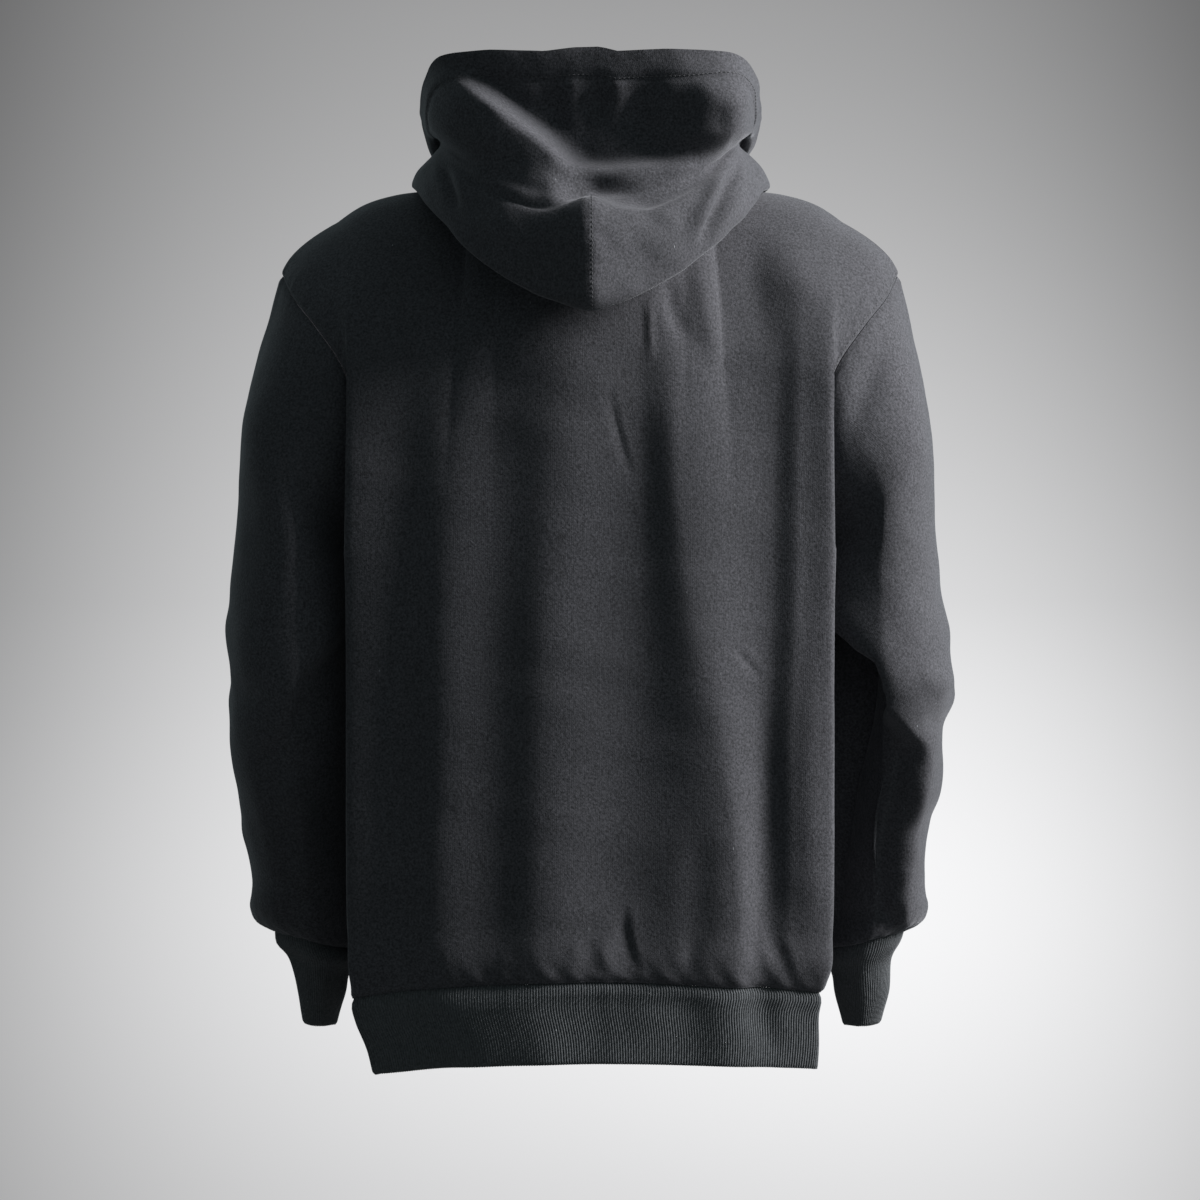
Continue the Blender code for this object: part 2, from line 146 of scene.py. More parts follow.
SLEEVE = millimetres(
    ARM_COLUMNS,
    (-245, 285, 279, 190, 1, 81, 55),
    (-302, 289, 284, 184, 4, 82, 28),
    (-345, 295, 288, 182.5, 8, 78.5, 12),
    (-380, 296, 293, 182, 10, 75.5, 4),
    (-408, 293.5, 297.5, 183, 8, 73, 0),
    (-440, 295.5, 290.5, 182, 0, 70, -2),
    (-492, 290, 288.5, 181, -16, 67, -4),
    (-520, 286, 278.5, 182, -26, 65, -4),
    (-570, 279.5, 277, 186, -44, 62, 2),
    (-598, 281.5, 280.5, 189, -54, 59, 5),
    (-610, 277, 276, 193, -59, 54, 7),
    (-618, 264, 263, 196, -63, 46, 8),
)
CUFF = SLEEVE[-1:] + millimetres(
    ARM_COLUMNS,
    (-643, 249, 250, 198, -71, 42, 5),
    (-668, 245, 249, 200, -81, 41, 3),
    (-692, 240, 243, 205, -90, 38.5, 2),
)
PINCH = 1.4
HOOD = hood_rings(
    (98, 56, -94, -8, 3, -74, 2.0, 2.0, 2.0, 1.6),
    (103, 66, -98, 8, 15, -70, 2.0, 1.9, 2.0, 1.6),
    (121, 103, -102, -26, 14, -68, 2.0, 1.8, 2.0, 1.7),
    (138, 144, -106, -98, 4, -66, 2.0, 1.7, 2.1, 1.9),
    (145, 163, -108, -105, 2, -64, 2.0, 1.7, 2.0, 1.9),
    (144, 172, -108, -72, 13, -62, 2.0, 1.7, 2.2, 1.8),
    (131, 166, -107, -29, 29, -60, 2.0, 1.7, 2.4, 1.7),
    (124, 142, -106, -20, 36, -58, 2.3, 1.7, 2.6, 1.6),
    (133, 128, -107, 42, 45, -55, 3.2, 1.7, 5.0, 1.4),
    (138.5, 121, -108, 102, 58, -50, 3.6, 1.7, 24.0, 1.2),
)
# How a yoke's columns leave its top, with what fall and with how much more in the neck, over what
# share of them; how they arrive at the underarm row; how the fold's line pulls those beside it
LEAVE, LEAVE_FALL, NECK_FALL, NECK_BLEND = 0.25, -0.12, -0.55, 5.0
ARRIVE, LINE_PULL = 0.30, 2.5


def shares(length, step=STEP, start=False, end=False):
    """Places along a length as shares of it, a step apart, and closer at a cut edge."""
    low, high = CUT[-1] * start, length - CUT[-1] * end
    even = np.linspace(low, high, round((high - low) / step) + 1)
    near = np.array([0.0, *CUT[:-1]])
    first, last = near[: len(near) * start], (length - near[::-1])[: len(near) * end]
    return np.concatenate([first, even, last]) / length


STRIP = shares(0.100, 0.0045, start=True)  # side or armhole seam to the fold's line
SHOULDER = shares(0.115)
NECK = shares(0.120, 0.0026, start=True)  # the middle to a neck point
YOKE = shares(0.290, start=True)
ARM = 132  # columns round a sleeve
RIB_POINTS = 4  # points across one rib
HEM_RIBS = 476
CUFF_RIBS = 96


def column(rows, name):
    return np.array([row[name] for row in rows])


def read(rows, x, name="z"):
    """A table's values at these x, on straight lines between its rows."""
    return np.interp(x, column(rows, "x"), column(rows, name))


def bridge(t, start, leave, end, arrive):
    """The points at these shares of a curve that leaves one end and arrives at the other so."""
    away = start * (1 + 2 * t) * (1 - t) ** 2 + leave * t * (1 - t) ** 2
    return away + end * t * t * (3 - 2 * t) + arrive * t * t * (t - 1)


def through(keys, values, at):
    """Points at `at` on the smooth curve that has `values` at `keys`."""
    keys, values, at = (np.asarray(a, float) for a in (keys, values, at))
    flat = values.reshape(len(keys), -1)
    slopes = np.gradient(flat, keys, axis=0)
    i = np.clip(np.searchsorted(keys, at, side="right") - 1, 0, len(keys) - 2)
    span = (keys[i + 1] - keys[i])[:, None]
    t = (at - keys[i])[:, None] / span
    points = bridge(t, flat[i], slopes[i] * span, flat[i + 1], slopes[i + 1] * span)
    return points.reshape((len(at),) + values.shape[1:])


def lengths(line):
    """The distance along a line at each of its points."""
    steps = np.linalg.norm(np.diff(line, axis=0), axis=-1)
    return np.concatenate([np.zeros((1,) + steps.shape[1:]), np.cumsum(steps, axis=0)])


def spaced(line, at):
    """The points at these shares of a line's length."""
    along = lengths(line)
    return np.stack([np.interp(at * along[-1], along, values) for values in line.T], axis=1)


def rounded(first, second, reach):
    """Two runs that meet at a corner, turned into two that meet in the middle of a bend."""
    first_kept = first[lengths(first) < lengths(first)[-1] - reach]
    second_kept = second[lengths(second) > reach]
    half = 10
    t = np.linspace(0, 1, 2 * half + 1)[:, None]
    bend = first_kept[-1] * (1 - t) ** 2 + 2 * first[-1] * t * (1 - t) + second_kept[0] * t * t
    start = np.concatenate([first_kept[:-1], bend[: half + 1]])
    return start, np.concatenate([bend[half:], second_kept[1:]])


def mirrored(line):
    return line * np.array([-1.0, 1.0, 1.0])


def both_sides(half):
    """A row from the left side to the middle, carried on to the right side."""
    return np.concatenate([half, mirrored(half[-2::-1])])


def body_half(row, rear):
    """Half of a body row, from the left side seam to the middle."""
    turn = "fold" if rear else "corner"
    x, y = row[turn], row[turn + "_y"]
    middle = row["back"] if rear else row["front"]
    t = np.linspace(0, 1, FINE)
    run_x = row["side"] + (x - row["side"]) * t**SIDE_BOW
    side = np.stack([run_x, SHOULDER_Y + (y - SHOULDER_Y) * t], axis=1)
    flat = np.stack([x * (1 - t), middle - (middle - y) * (1 - t) ** BACK_ROUND], axis=1)
    side, flat = rounded(side, flat, FOLD_ROUNDING if rear else CORNER_ROUNDING)
    flat = spaced(flat, np.linspace(0, 1, len(SHOULDER) + len(NECK) - 1))
    plan = np.concatenate([spaced(side, STRIP), flat[1:]])
    share = 1 - lengths(plan) / lengths(plan)[-1]
    rise = row["rise"] * (1 - share**RISE_SPREAD) if rear else np.zeros(len(plan))
    return np.column_stack([plan, row["z"] + rise])


def body_rows(rows, rear, step=STEP, end=False):
    """Body rows through those of a table, from its first height to its last."""
    depth = -column(rows, "z")
    at = depth[0] + (depth[-1] - depth[0]) * shares(depth[-1] - depth[0], step, end=end)
    return through(depth, [both_sides(body_half(row, rear)) for row in rows], at)


def hood_quarter(row, rear):
    """A quarter of a hood ring, from the middle of the back or the front to the left side."""
    angle = np.linspace(0, np.pi / 2, FINE)
    power = 2 / (row["square"] if rear else row["point"])
    end = "back" if rear else "front"
    middle, height = row[end], row["z_" + end]
    out, away = np.sin(angle) ** power, np.cos(angle) ** power
    share = 1 - out ** row["flat"] if rear else np.cos(angle) ** row["fall"]
    x = row["half"] * out
    y = SHOULDER_Y + (middle - SHOULDER_Y) * away
    z = row["z_side"] + (height - row["z_side"]) * share
    return spaced(np.column_stack([x, y, z]), NECK)


def curve(rows, at):
    """The points at these shares of the smooth line through a table's x, y and z."""
    points = np.column_stack([column(rows, name) for name in "xyz"])
    keys = lengths(points)
    return spaced(through(keys, points, np.linspace(0, keys[-1], FINE)), at)


def yoke(rear):
    """A panel from its top down to the underarm row."""
    out = 1.0 if rear else -1.0
    line = curve(FOLD_LINE if rear else CORNER_LINE, YOKE)
    edge = curve(ARMHOLE_BACK if rear else ARMHOLE_FRONT, YOKE)
    under = both_sides(body_half(BODY[0], rear))
    strip = len(STRIP) - 1
    line += (under[strip] - line[-1]) * YOKE[:, None] ** 2
    seam = curve([dict(row, y=SHOULDER_Y) for row in SHOULDER_FALL], np.linspace(0, 1, FINE))[::-1]
    seam = np.concatenate([line[:1], seam[seam[:, 0] < line[0, 0] - 1e-4]])
    top = np.concatenate([spaced(seam, SHOULDER), hood_quarter(HOOD[0], rear)[-2::-1]])
    share = np.linspace(1, 0, len(top))
    in_neck = np.clip(((len(NECK) - 1) / (len(top) - 1) - share) * NECK_BLEND, 0, 1)
    leave = np.zeros_like(top)
    leave[:, 1], leave[:, 2] = out, LEAVE_FALL + NECK_FALL * in_neck
    leave *= LEAVE / np.linalg.norm(leave, axis=1)[:, None]
    arrive = np.array([0.0, 0.0, -ARRIVE])
    inside = bridge(YOKE[:, None, None], top, leave, under[strip : strip + len(top)], arrive)
    inside += (share[None, :, None] ** LINE_PULL) * (line - inside[:, 0])[:, None]
    across = STRIP[:-1, None] ** np.array([SIDE_BOW, 1, 1])
    sides = edge[:, None] * (1 - across) + line[:, None] * across
    sides[-1] = under[:strip]
    left = np.concatenate([sides, inside], axis=1)
    return np.concatenate([left, mirrored(left[:, -2::-1])], axis=1)


def panel(rear):
    """The back or the front, from the shoulder seams down to the hem seam."""
    rows = np.concatenate([yoke(rear), body_rows(BODY, rear, end=True)[1:]])
    return rows if rear else rows[:, ::-1]


def arm_ring(row, outer):
    """A ring round the left arm, from its outer side round the back."""
    angle = np.linspace(0, 2 * np.pi, FINE + 1)
    middle, half = (row[outer] + row["inner"]) / 2, (row[outer] - row["inner"]) / 2
    outwards = np.cos(angle)
    across = np.where(outwards > 0, outwards, -(np.abs(outwards) ** PINCH))
    x = middle + half * across
    y = row["y"] + row["deep"] * np.sin(angle)
    z = row["z"] + row["tilt"] * outwards
    return spaced(np.column_stack([x, y, z]), np.linspace(0, 1, ARM + 1))[:-1]


def rows_through(rings, step=STEP, start=True, end=True):
    """Fine rows through rings, by the mean distance between them."""
    keys = lengths(np.array(rings)).mean(axis=1)
    return through(keys, rings, keys[-1] * shares(keys[-1], step, start, end))


def sleeve_grid(outer):
    half = np.linspace(0, 1, ARM // 2 + 1)
    back, front = curve(ARMHOLE_BACK, half), curve(ARMHOLE_FRONT, half)
    loop = np.concatenate([back, front[-2:0:-1]])
    return rows_through([loop] + [arm_ring(row, outer) for row in SLEEVE])


def hood_grid():
    """The whole hood, from the rim down and round to the neck seam. Its columns run from the
    throat round the wearer's left, the back and the right to the throat again."""
    halves = [(hood_quarter(row, False), hood_quarter(row, True)) for row in HOOD[::-1]]
    rings = np.array([both_sides(np.concatenate([front, back[-2::-1]])) for front, back in halves])
    keys = lengths(rings[:, rings.shape[1] // 2])
    return through(keys, rings, keys[-1] * shares(keys[-1], HOOD_STEP, True, True)), keys


# ---- folds and other relief

# The upright folds: how far each crest and trough stands out, and where they run, from the left
# side to the right, by height. Between two lines the cloth swings evenly.
BACK_OUT = (0.0, -0.0040, 0.0022, -0.0020, 0.0025, -0.0052, 0.0032, -0.0068, -0.0014, 0.0016)
BACK_LINES = upright(
    (-90, 0.10, (195, 152, 106, 64, 14, -34, -72, -152, -172, -196)),
    (-130, 0.35, (195, 152, 110, 66, 18, -36, -72, -151, -171, -196)),
    (-215, 0.85, (195, 152, 112, 69, 28, -40, -69, -148, -169, -196)),
    (-340, 1.00, (195, 153, 115, 72, 34, -41, -81, -146, -168, -196)),
    (-455, 1.10, (195, 154, 117, 74, 38, -38, -102, -142, -162, -196)),
    (-575, 1.10, (194, 154, 120, 76, 41, -33, -116, -142, -162, -193)),
    (-661, 0.70, (190, 152, 120, 76, 42, -30, -114, -140, -158, -189)),
)
FRONT_OUT = (0.0, -0.0034, 0.0036, -0.0042, 0.0040, -0.0030, 0.0038, -0.0046, 0.0030, 0.0)
FRONT_LINES = upright(
    (-100, 0.10, (186, 150, 100, 52, 12, -30, -64, -110, -156, -186)),
    (-150, 0.40, (186, 150, 104, 56, 14, -32, -68, -116, -156, -186)),
    (-260, 0.90, (186, 152, 112, 62, 18, -34, -78, -126, -158, -186)),
    (-420, 1.00, (186, 152, 118, 68, 16, -40, -90, -130, -158, -186)),
    (-560, 0.90, (186, 150, 114, 74, 22, -36, -88, -128, -156, -186)),
    (-661, 0.55, (178, 146, 110, 74, 24, -34, -84, -124, -150, -178)),
)
# Soft folds, as seen from behind or from in front: from (a0, z0) to (a1, z1), where a is x, with
# the middle bowed sideways, a half width, a depth (ridges out, troughs in) and, where it is
# given, how much wider the fold's +x flank is than its other.
BACK_FOLDS = folds(
    (-88, -52, -108, -160, 4, 12, 3.8, -0.2),
    (-62, -70, -78, -135, 3, 7, -3.4),
    (-50, -86, -50, -150, 2, 4, 1.8, 0.2),
    (-45, -100, -46, -142, 1, 3, -1.2),
    (-16, -162, -38, -246, 2, 3.6, -1.5, 0.5),
    (-114, -370, -142, -400, 1, 3.4, -1.5, 0.4),
    (-155, -28, -180, -110, 4, 18, 3),
    (-130, -30, -150, -150, 6, 14, -2.2),
    (175, -60, 110, -130, 10, 20, 2),
    (150, -30, 165, -150, -4, 16, -2),
    (20, -100, 80, -160, 4, 16, 1.4),
    (-28, -575, -42, -640, 4, 6, -2.6, 0.4),
    (-10, -600, -18, -650, 2, 7, 2),
    (10, -600, 10, -648, 2, 7, 1.2),
    (-150, -604, -160, -645, -2, 6, -2.4, 0.3),
    (-138, -590, -146, -648, 1, 7, 1.8),
    (-86, -600, -78, -648, 2, 8, -1.8),
    (70, -610, 64, -650, 1, 6, 1.2),
    (120, -610, 132, -650, 1, 8, -1.4),
    (-176, -330, -180, -640, 2, 13, 2.6),
    (-146, -400, -158, -660, 2, 12, -3.4),
    (-90, -500, -86, -650, 2, 14, -2.4),
)
FRONT_FOLDS = folds(
    (-190, -85, -105, -190, 12, 20, -3.4),
    (188, -80, 100, -200, -12, 20, -3.4),
    (-110, -60, -45, -170, 8, 22, 2.8),
    (115, -55, 50, -180, -8, 22, 3),
    (-60, -590, -30, -648, 4, 9, -2),
    (80, -590, 60, -648, 4, 9, -2),
    (0, -600, 10, -650, 2, 7, 1.4),
)
# The right sleeve, which shows in full light, and the left one, both seen from behind
RIGHT_BACK = folds(
    (-238, -100, -198, -225, -6, 13, -5),
    (-224, -130, -196, -300, -2, 16, 2.2),
    (-205, -200, -212, -300, 2, 16, -2),
    (-186, -140, -186, -330, 0, 24, 9),
    (-186, -262, -190, -400, 0, 26, 20),
    (-194, -318, -262, -426, 6, 18, 6),
    (-262, -398, -300, -404, 2, 10, 4),
    (-268, -430, -300, -438, 2, 8, -3),
    (-284, -430, -270, -520, 3, 11, 3),
    (-268, -520, -276, -590, 2, 14, 3),
    (-208, -560, -262, -604, 6, 10, -2.6),
)
LEFT_BACK = folds(
    (238, -100, 200, -225, 6, 14, -4),
    (262, -130, 238, -330, 2, 20, 2.4),
    (210, -220, 214, -360, -2, 18, -2.6),
    (200, -330, 262, -430, -8, 16, 3),
    (196, -360, 240, -450, -6, 14, -3.6),
    (296, -408, 262, -414, 2, 10, -2.6),
    (252, -470, 210, -540, 6, 14, 2.6),
    (240, -440, 262, -560, 2, 18, 1.8),
    (208, -560, 262, -604, -6, 10, -2.6),
)
# Any sleeve's front, and its outer side, where a is y; x is taken as for the left arm
ARM_FRONT = folds(
    (240, -120, 204, -240, -4, 18, -4),
    (205, -260, 250, -350, 6, 18, 3.6),
    (280, -340, 210, -400, 8, 13, -5.6),
    (205, -372, 275, -436, 6, 14, 5),
    (280, -410, 215, -470, 8, 12, -5.6),
    (215, -455, 262, -530, 5, 15, 4),
    (265, -530, 215, -585, 4, 13, -3.6),
)
ARM_SIDE = folds(
    (50, -120, 60, -260, 4, 22, 2.4),
    (-40, -150, 10, -290, 6, 20, -3),
    (-50, -340, 40, -376, 6, 15, 3),
    (-60, -385, 30, -398, 6, 13, -3.6),
    (-66, -420, 30, -424, 6, 13, 3.4),
    (-70, -455, 10, -452, 6, 12, -3.4),
    (-75, -510, -10, -540, 4, 14, 2.6),
    (-90, -560, -30, -585, 4, 12, -2.6),
)
# The overhang of cloth at an elbow, as seen from behind: the edge's line from the inner side
# outwards, with x as for the left arm, how far the cloth drops in below it and what is left of
# the drop lower down
ELBOW_LINE = millimetres(
    "x z",
    (180, -332), (196, -350), (214, -372), (230, -382), (240, -424), (262, -443), (300, -470),
)
ELBOW_DROP = {"left": 0.006, "right": 0.020}
ELBOW_LEAN = {"left": 0.0, "right": 0.45}  # how steeply the cloth below leans in to the inner side
ELBOW_OVER, ELBOW_BACK = 0.022, 0.420  # the drop's width, and the length over which it comes back
ELBOW_REACH = millimetres("z x", (-560, 263), (-450, 282))  # how far outwards the overhang reaches
ELBOW_FADE, ELBOW_INSET = 0.02, 0.022  # how it ends there, and how far inside of it the lean begins
# The hood's standing wall and its pouch, seen from behind
WALL_FOLDS = folds(
    (-140, 50, -60, -20, 10, 18, 4, -0.3),
    (56, 84, 34, 40, 3, 8, 3.4),
    (34, 84, 20, 36, 2, 6, -3.4),
    (14, 90, 8, 30, 2, 6.5, 4),
    (-4, 86, -8, 46, -1, 5, -3.6),
    (-22, 88, -16, 36, -2, 6.5, 4.2),
    (-42, 84, -30, 30, -3, 7, -3),
    (-66, 82, -46, 34, -3, 9, 3.2),
    (-94, 80, -80, 36, -2, 9, 2.2),
    (-16, 8, -64, 14, 2, 3.5, 1.8, 0.4),
    (30, 14, 14, -14, 3, 7, -2.2),
    (52, 10, 40, -14, 2, 8, 2),
    (10, -8, -46, -18, 0, 9, -8),
    (-124, 104, -120, 30, 2, 20, 5),
    (-80, 20, -50, -14, -3, 8, 2),
)
POUCH_FOLDS = folds(
    (-116, 24, -80, -60, 3, 6, 5.4, -0.2),
    (-124, 22, -88, -64, 3, 4.5, -8),
    (-128, 0, -104, -40, 1, 4.5, 2.4),
    (121, 18, 106, -30, -2, 4.5, -6),
    (112, 18, 96, -30, -2, 8, 2),
    (-46, -24, -80, -36, 2, 6, 1.8),
    (-14, -34, -30, -62, 2, 9, 1.2),
    (80, -20, 40, -60, 4, 18, 2.2),
)
HOLLOW_SHARE, HOLLOW_SPREAD = 0.3, 2.4  # the cloth beside a fold moves a little the other way
TAPER = 0.38  # share of a fold's length over which each end fades
DRAPE_START = 0.03  # height above their first row over which the upright folds begin
# From where folds show as the cloth turns to their side, and over how much of its turn
FACING = {"panel": (-0.1, 0.7), "back": (-0.15, 0.6), "front": (-0.05, 0.6), "side": (0.15, 0.6)}
# The soft unevenness of each piece: the seed, the height and the wavelength of its ripples
UNEVEN = {
    "back_panel": ((4, 0.0008, 0.070), (6, 0.00035, 0.024)),
    "front_panel": ((3, 0.0008, 0.070), (5, 0.00035, 0.024)),
    "sleeve_left": ((11, 0.0010, 0.060), (15, 0.0004, 0.022)),
    "sleeve_right": ((12, 0.0010, 0.060), (16, 0.0004, 0.022)),
    "hood": ((21, 0.0013, 0.050), (22, 0.0006, 0.018)),
    "hem": ((31, 0.0018, 0.060),),
    "cuff_left": ((45, 0.0014, 0.040),),
    "cuff_right": ((46, 0.0014, 0.040),),
}
WAVES, WAVE_LENGTHS = 14, (0.8, 2.6)  # the waves in a ripple, and their lengths as shares of its own
RIPPLE_PEAK = 1.6  # the height of their sum that counts as 1


def unit(v):
    return v / np.linalg.norm(v, axis=-1)[..., None]


def smooth(t):
    """From 0 at 0 to 1 at 1, and level at both."""
    t = np.clip(t, 0, 1)
    return t * t * (3 - 2 * t)


def rise(value, start, over):
    """From 0 at the start to 1 where the value is this much over it."""
    return smooth((value - start) / over)


def bell(distance, width):
    return np.exp(-((distance / width) ** 2))


def fold_field(a, z, rows):
    """How far the folds of a table move the cloth, at each place."""
    total = np.zeros_like(a)
    for f in rows:
        run = np.array([f["a1"] - f["a0"], f["z1"] - f["z0"]])
        size = np.hypot(*run)
        t = ((a - f["a0"]) * run[0] + (z - f["z0"]) * run[1]) / size**2
        off = ((a - f["a0"]) * -run[1] + (z - f["z0"]) * run[0]) / size
        off = off - f["bow"] * 4 * np.clip(t, 0, 1) * (1 - np.clip(t, 0, 1))
        off = off / (f["width"] * (1 + f["skew"] * np.sign(off)))
        profile = bell(off, 1) - HOLLOW_SHARE * bell(off, HOLLOW_SPREAD)
        total += f["depth"] * profile * smooth(t / TAPER) * smooth((1 - t) / TAPER)
    return total


def draped(x, z, lines, outs):
    """How far upright folds move the cloth, from their crests' and troughs' lines."""
    heights = -column(lines, "z")
    at = np.clip(-z.mean(axis=1), heights[0], heights[-1])
    places = through(heights, [row["xs"] for row in lines], at)
    strength = np.interp(at, heights, column(lines, "share"))
    strength *= smooth((at - heights[0] + DRAPE_START) / DRAPE_START)
    outs = np.array(outs)
    total = np.zeros_like(x)
    for row, (place, share) in enumerate(zip(places, strength)):
        i = np.clip(np.searchsorted(-place, -x[row], side="right") - 1, 0, len(outs) - 2)
        t = np.clip((x[row] - place[i]) / (place[i + 1] - place[i]), 0, 1)
        swing = (1 - np.cos(np.pi * t)) / 2
        total[row] = share * (outs[i] * (1 - swing) + outs[i + 1] * swing)
    return total


def elbow(x, z, outer):
    """The drop of the cloth below the elbow's overhang."""
    edge = read(ELBOW_LINE, x)
    below = edge - z
    drop = smooth(below / ELBOW_OVER) * smooth(1 - (below - ELBOW_OVER) / ELBOW_BACK)
    reach = np.interp(z, column(ELBOW_REACH, "z"), column(ELBOW_REACH, "x"))
    lean = ELBOW_LEAN[outer] * np.clip(reach - ELBOW_INSET - x, 0, None)
    return -drop * (ELBOW_DROP[outer] * smooth((reach - x) / ELBOW_FADE) + lean)


def ripple(points, seed, wavelength):
    """Waves in unlike directions, some longer than others, mostly from -1 to 1."""
    rng = np.random.default_rng(seed)
    total = 0.0
    for _ in range(WAVES):
        direction = unit(rng.normal(size=3)) * 2 * np.pi / (wavelength * rng.uniform(*WAVE_LENGTHS))
        total = total + np.sin(points @ direction + rng.uniform(0, 2 * np.pi))
    return total / WAVES**0.5 / RIPPLE_PEAK


def uneven(grid, piece):
    return sum(height * ripple(grid, seed, wavelength) for seed, height, wavelength in UNEVEN[piece])


def normals(grid, closed=False):
    """The outward direction at each point of a grid."""
    if closed:
        sideways = np.roll(grid, -1, axis=1) - np.roll(grid, 1, axis=1)
    else:
        sideways = np.gradient(grid, axis=1)
    return unit(np.cross(np.gradient(grid, axis=0), sideways))


def row_lengths(grid):
    """The distance of each point along its row, from the row's first point."""
    return lengths(np.moveaxis(grid, 1, 0)).T


SEAM_DIP, SEAM_REACH = 0.0016, 0.0026  # how far a sewn edge is drawn in, and over what width
PUCKER_START, PUCKER_FADE = 0.006, 0.010  # distances from the seam
PUCKER_BEAT = 1.63  # a second, weaker wave is this much longer, so that no two puckers are alike
PUCKER = (0.0007, 0.012)  # the usual height and pitch
HEM_PUCKER = (0.0008, 0.019)
CENTRE_PUCKER = (0.0005, 0.011)


def seam_relief(distance, along=None, pucker=(0.0, 1.0)):
    """The dip at a sewn edge, with puckers beside it."""
    relief = -SEAM_DIP * bell(distance, SEAM_REACH)
    height, pitch = pucker
    if height:
        turn = 2 * np.pi * along / pitch
        wave = np.sin(turn) + 0.7 * np.sin(turn / PUCKER_BEAT + 1)
        relief = relief + height * wave * np.exp(-distance / PUCKER_FADE) * smooth(distance / PUCKER_START)
    return relief


def moved(grid, amount, closed=False):
    return grid + normals(grid, closed) * amount[..., None]


PANEL_FADE = 0.03  # from a panel's seams to where its folds have their whole height
HEM_SHARE = 0.80  # what the folds have of it at the hem seam


def relief_panel(grid, rear):
    """A panel's folds, fading out at its sewn sides and top, and its seams' dips."""
    facing = normals(grid)[..., 1] * (1 if rear else -1)
    x, z = grid[..., 0], grid[..., 2]
    along, down = row_lengths(grid), lengths(grid)
    side = np.minimum(along, along[:, -1:] - along)
    up = down[-1] - down
    free = smooth(side / PANEL_FADE) * smooth(down / PANEL_FADE) * rise(facing, *FACING["panel"])
    amount = fold_field(x, z, BACK_FOLDS if rear else FRONT_FOLDS)
    amount += draped(x, z, BACK_LINES, BACK_OUT) if rear else draped(x, z, FRONT_LINES, FRONT_OUT)
    amount += uneven(grid, "back_panel" if rear else "front_panel")
    amount *= free * (HEM_SHARE + (1 - HEM_SHARE) * smooth(up / PANEL_FADE))
    amount += seam_relief(side, down, PUCKER) + seam_relief(down)
    amount += seam_relief(up, along, HEM_PUCKER)
    return moved(grid, amount)


SLEEVE_FADE = (0.035, 0.030)  # below the armhole, and above the cuff
# The gathers above a cuff: their pitch and height, how far up they start and fade, and how they
# wander, as an amount and a wavelength
GATHER_PITCH, GATHER_HEIGHT = 0.013, 0.0012
GATHER_START, GATHER_FADE = 0.006, 0.014
GATHER_WANDER = (2, 0.05)


def relief_sleeve(grid, outer, rows):
    """A sleeve's folds. The grid is as for the left arm, so the right one's folds are mirrored."""
    n = normals(grid, True)
    x, y, z = grid[..., 0], grid[..., 1], grid[..., 2]
    seen = x if outer == "left" else -x
    down = lengths(grid)
    up = down[-1] - down
    amount = fold_field(seen, z, rows) + elbow(x, z, outer)
    amount *= rise(n[..., 1], *FACING["back"])
    amount += fold_field(x, z, ARM_FRONT) * rise(-n[..., 1], *FACING["front"])
    amount += fold_field(y, z, ARM_SIDE) * rise(n[..., 0], *FACING["side"])
    piece = "sleeve_" + outer
    amount += uneven(grid, piece)
    amount *= smooth(down / SLEEVE_FADE[0]) * smooth(up / SLEEVE_FADE[1])
    around = row_lengths(grid)
    far, wavelength = GATHER_WANDER
    wander = far * ripple(grid, UNEVEN[piece][0][0], wavelength)
    gathers = np.sin(2 * np.pi * around / GATHER_PITCH + wander)
    amount += GATHER_HEIGHT * gathers * np.exp(-up / GATHER_FADE) * smooth(up / GATHER_START)
    amount += seam_relief(down, around, PUCKER) + seam_relief(up)
    return moved(grid, amount, True)


# The pouch's plan, beyond its ring's: a keel along the centre seam, between two flatter sides
KEEL = millimetres("x out", (0, 8), (20, -1), (45, -5.6), (70, -4), (100, 0), (160, 0))
# The ridges that run from the pouch's lip up to the rim's corners: beyond them the standing wall
# comes back as far as the pouch
LEFT_RIDGE = millimetres("x z", (-20, 10), (0, 20), (50, 60), (96, 96), (140, 125))
RIGHT_RIDGE = millimetres("x z", (-140, 72), (-110, 30), (-87, -2), (-40, -26), (0, -50))
FILL = 0.013  # how far the wall comes back beside them
LEFT_WIDTH, RIGHT_WIDTH = 0.028, 0.045
LEFT_START, RIGHT_START = (0.006, 0.025), (0.050, 0.035)  # from the middle, and over what width
RECESS_RIGHT = -0.122  # where the recess between the ridges begins at the wearer's right
RECESS_DEEP, RECESS_SPAN = 0.024, 0.190  # how far in it slopes from there, over this width
RECESS_UNDER, RECESS_TOP = 0.009, (0.078, 0.040)  # how far it goes in under the rim, and from where
RECESS_EDGE = 0.020  # the width of its slopes at the right and at the foot
RECESS_FOOT = millimetres("x z", (-140, 10), (-100, 7), (-30, 1), (20, -4))
FLANK, FLANK_SPAN = 0.030, (0.040, 0.112)  # how far back the wall stands beside it, between these
FLANK_END, FLANK_FOOT = (-0.142, 0.022), 0.030  # where it ends at the side, and its slope at the foot
CHANNEL = 0.022  # depth of the rim's sewn channel
CHANNEL_HEIGHT, CHANNEL_STEP = 0.0010, 0.003
GROOVE, GROOVE_WIDTH = 0.0012, 0.0018  # the line of its topstitching
BEHIND = (0.02, 0.05)  # the y from which the hood's back folds begin, and over how much
OVERLAP, BLEND = 0.004, 0.02  # how the wall's folds give way to the pouch's, down from the rim
POUCH_OVER, POUCH_FADE = 0.02, 0.03  # how the pouch's folds fade round its lowest ring
HOOD_FADE = 0.02  # above the neck seam
SHIFT_START, SHIFT_END = 0.05, 0.026  # the lengths over which the wall's shift comes and goes
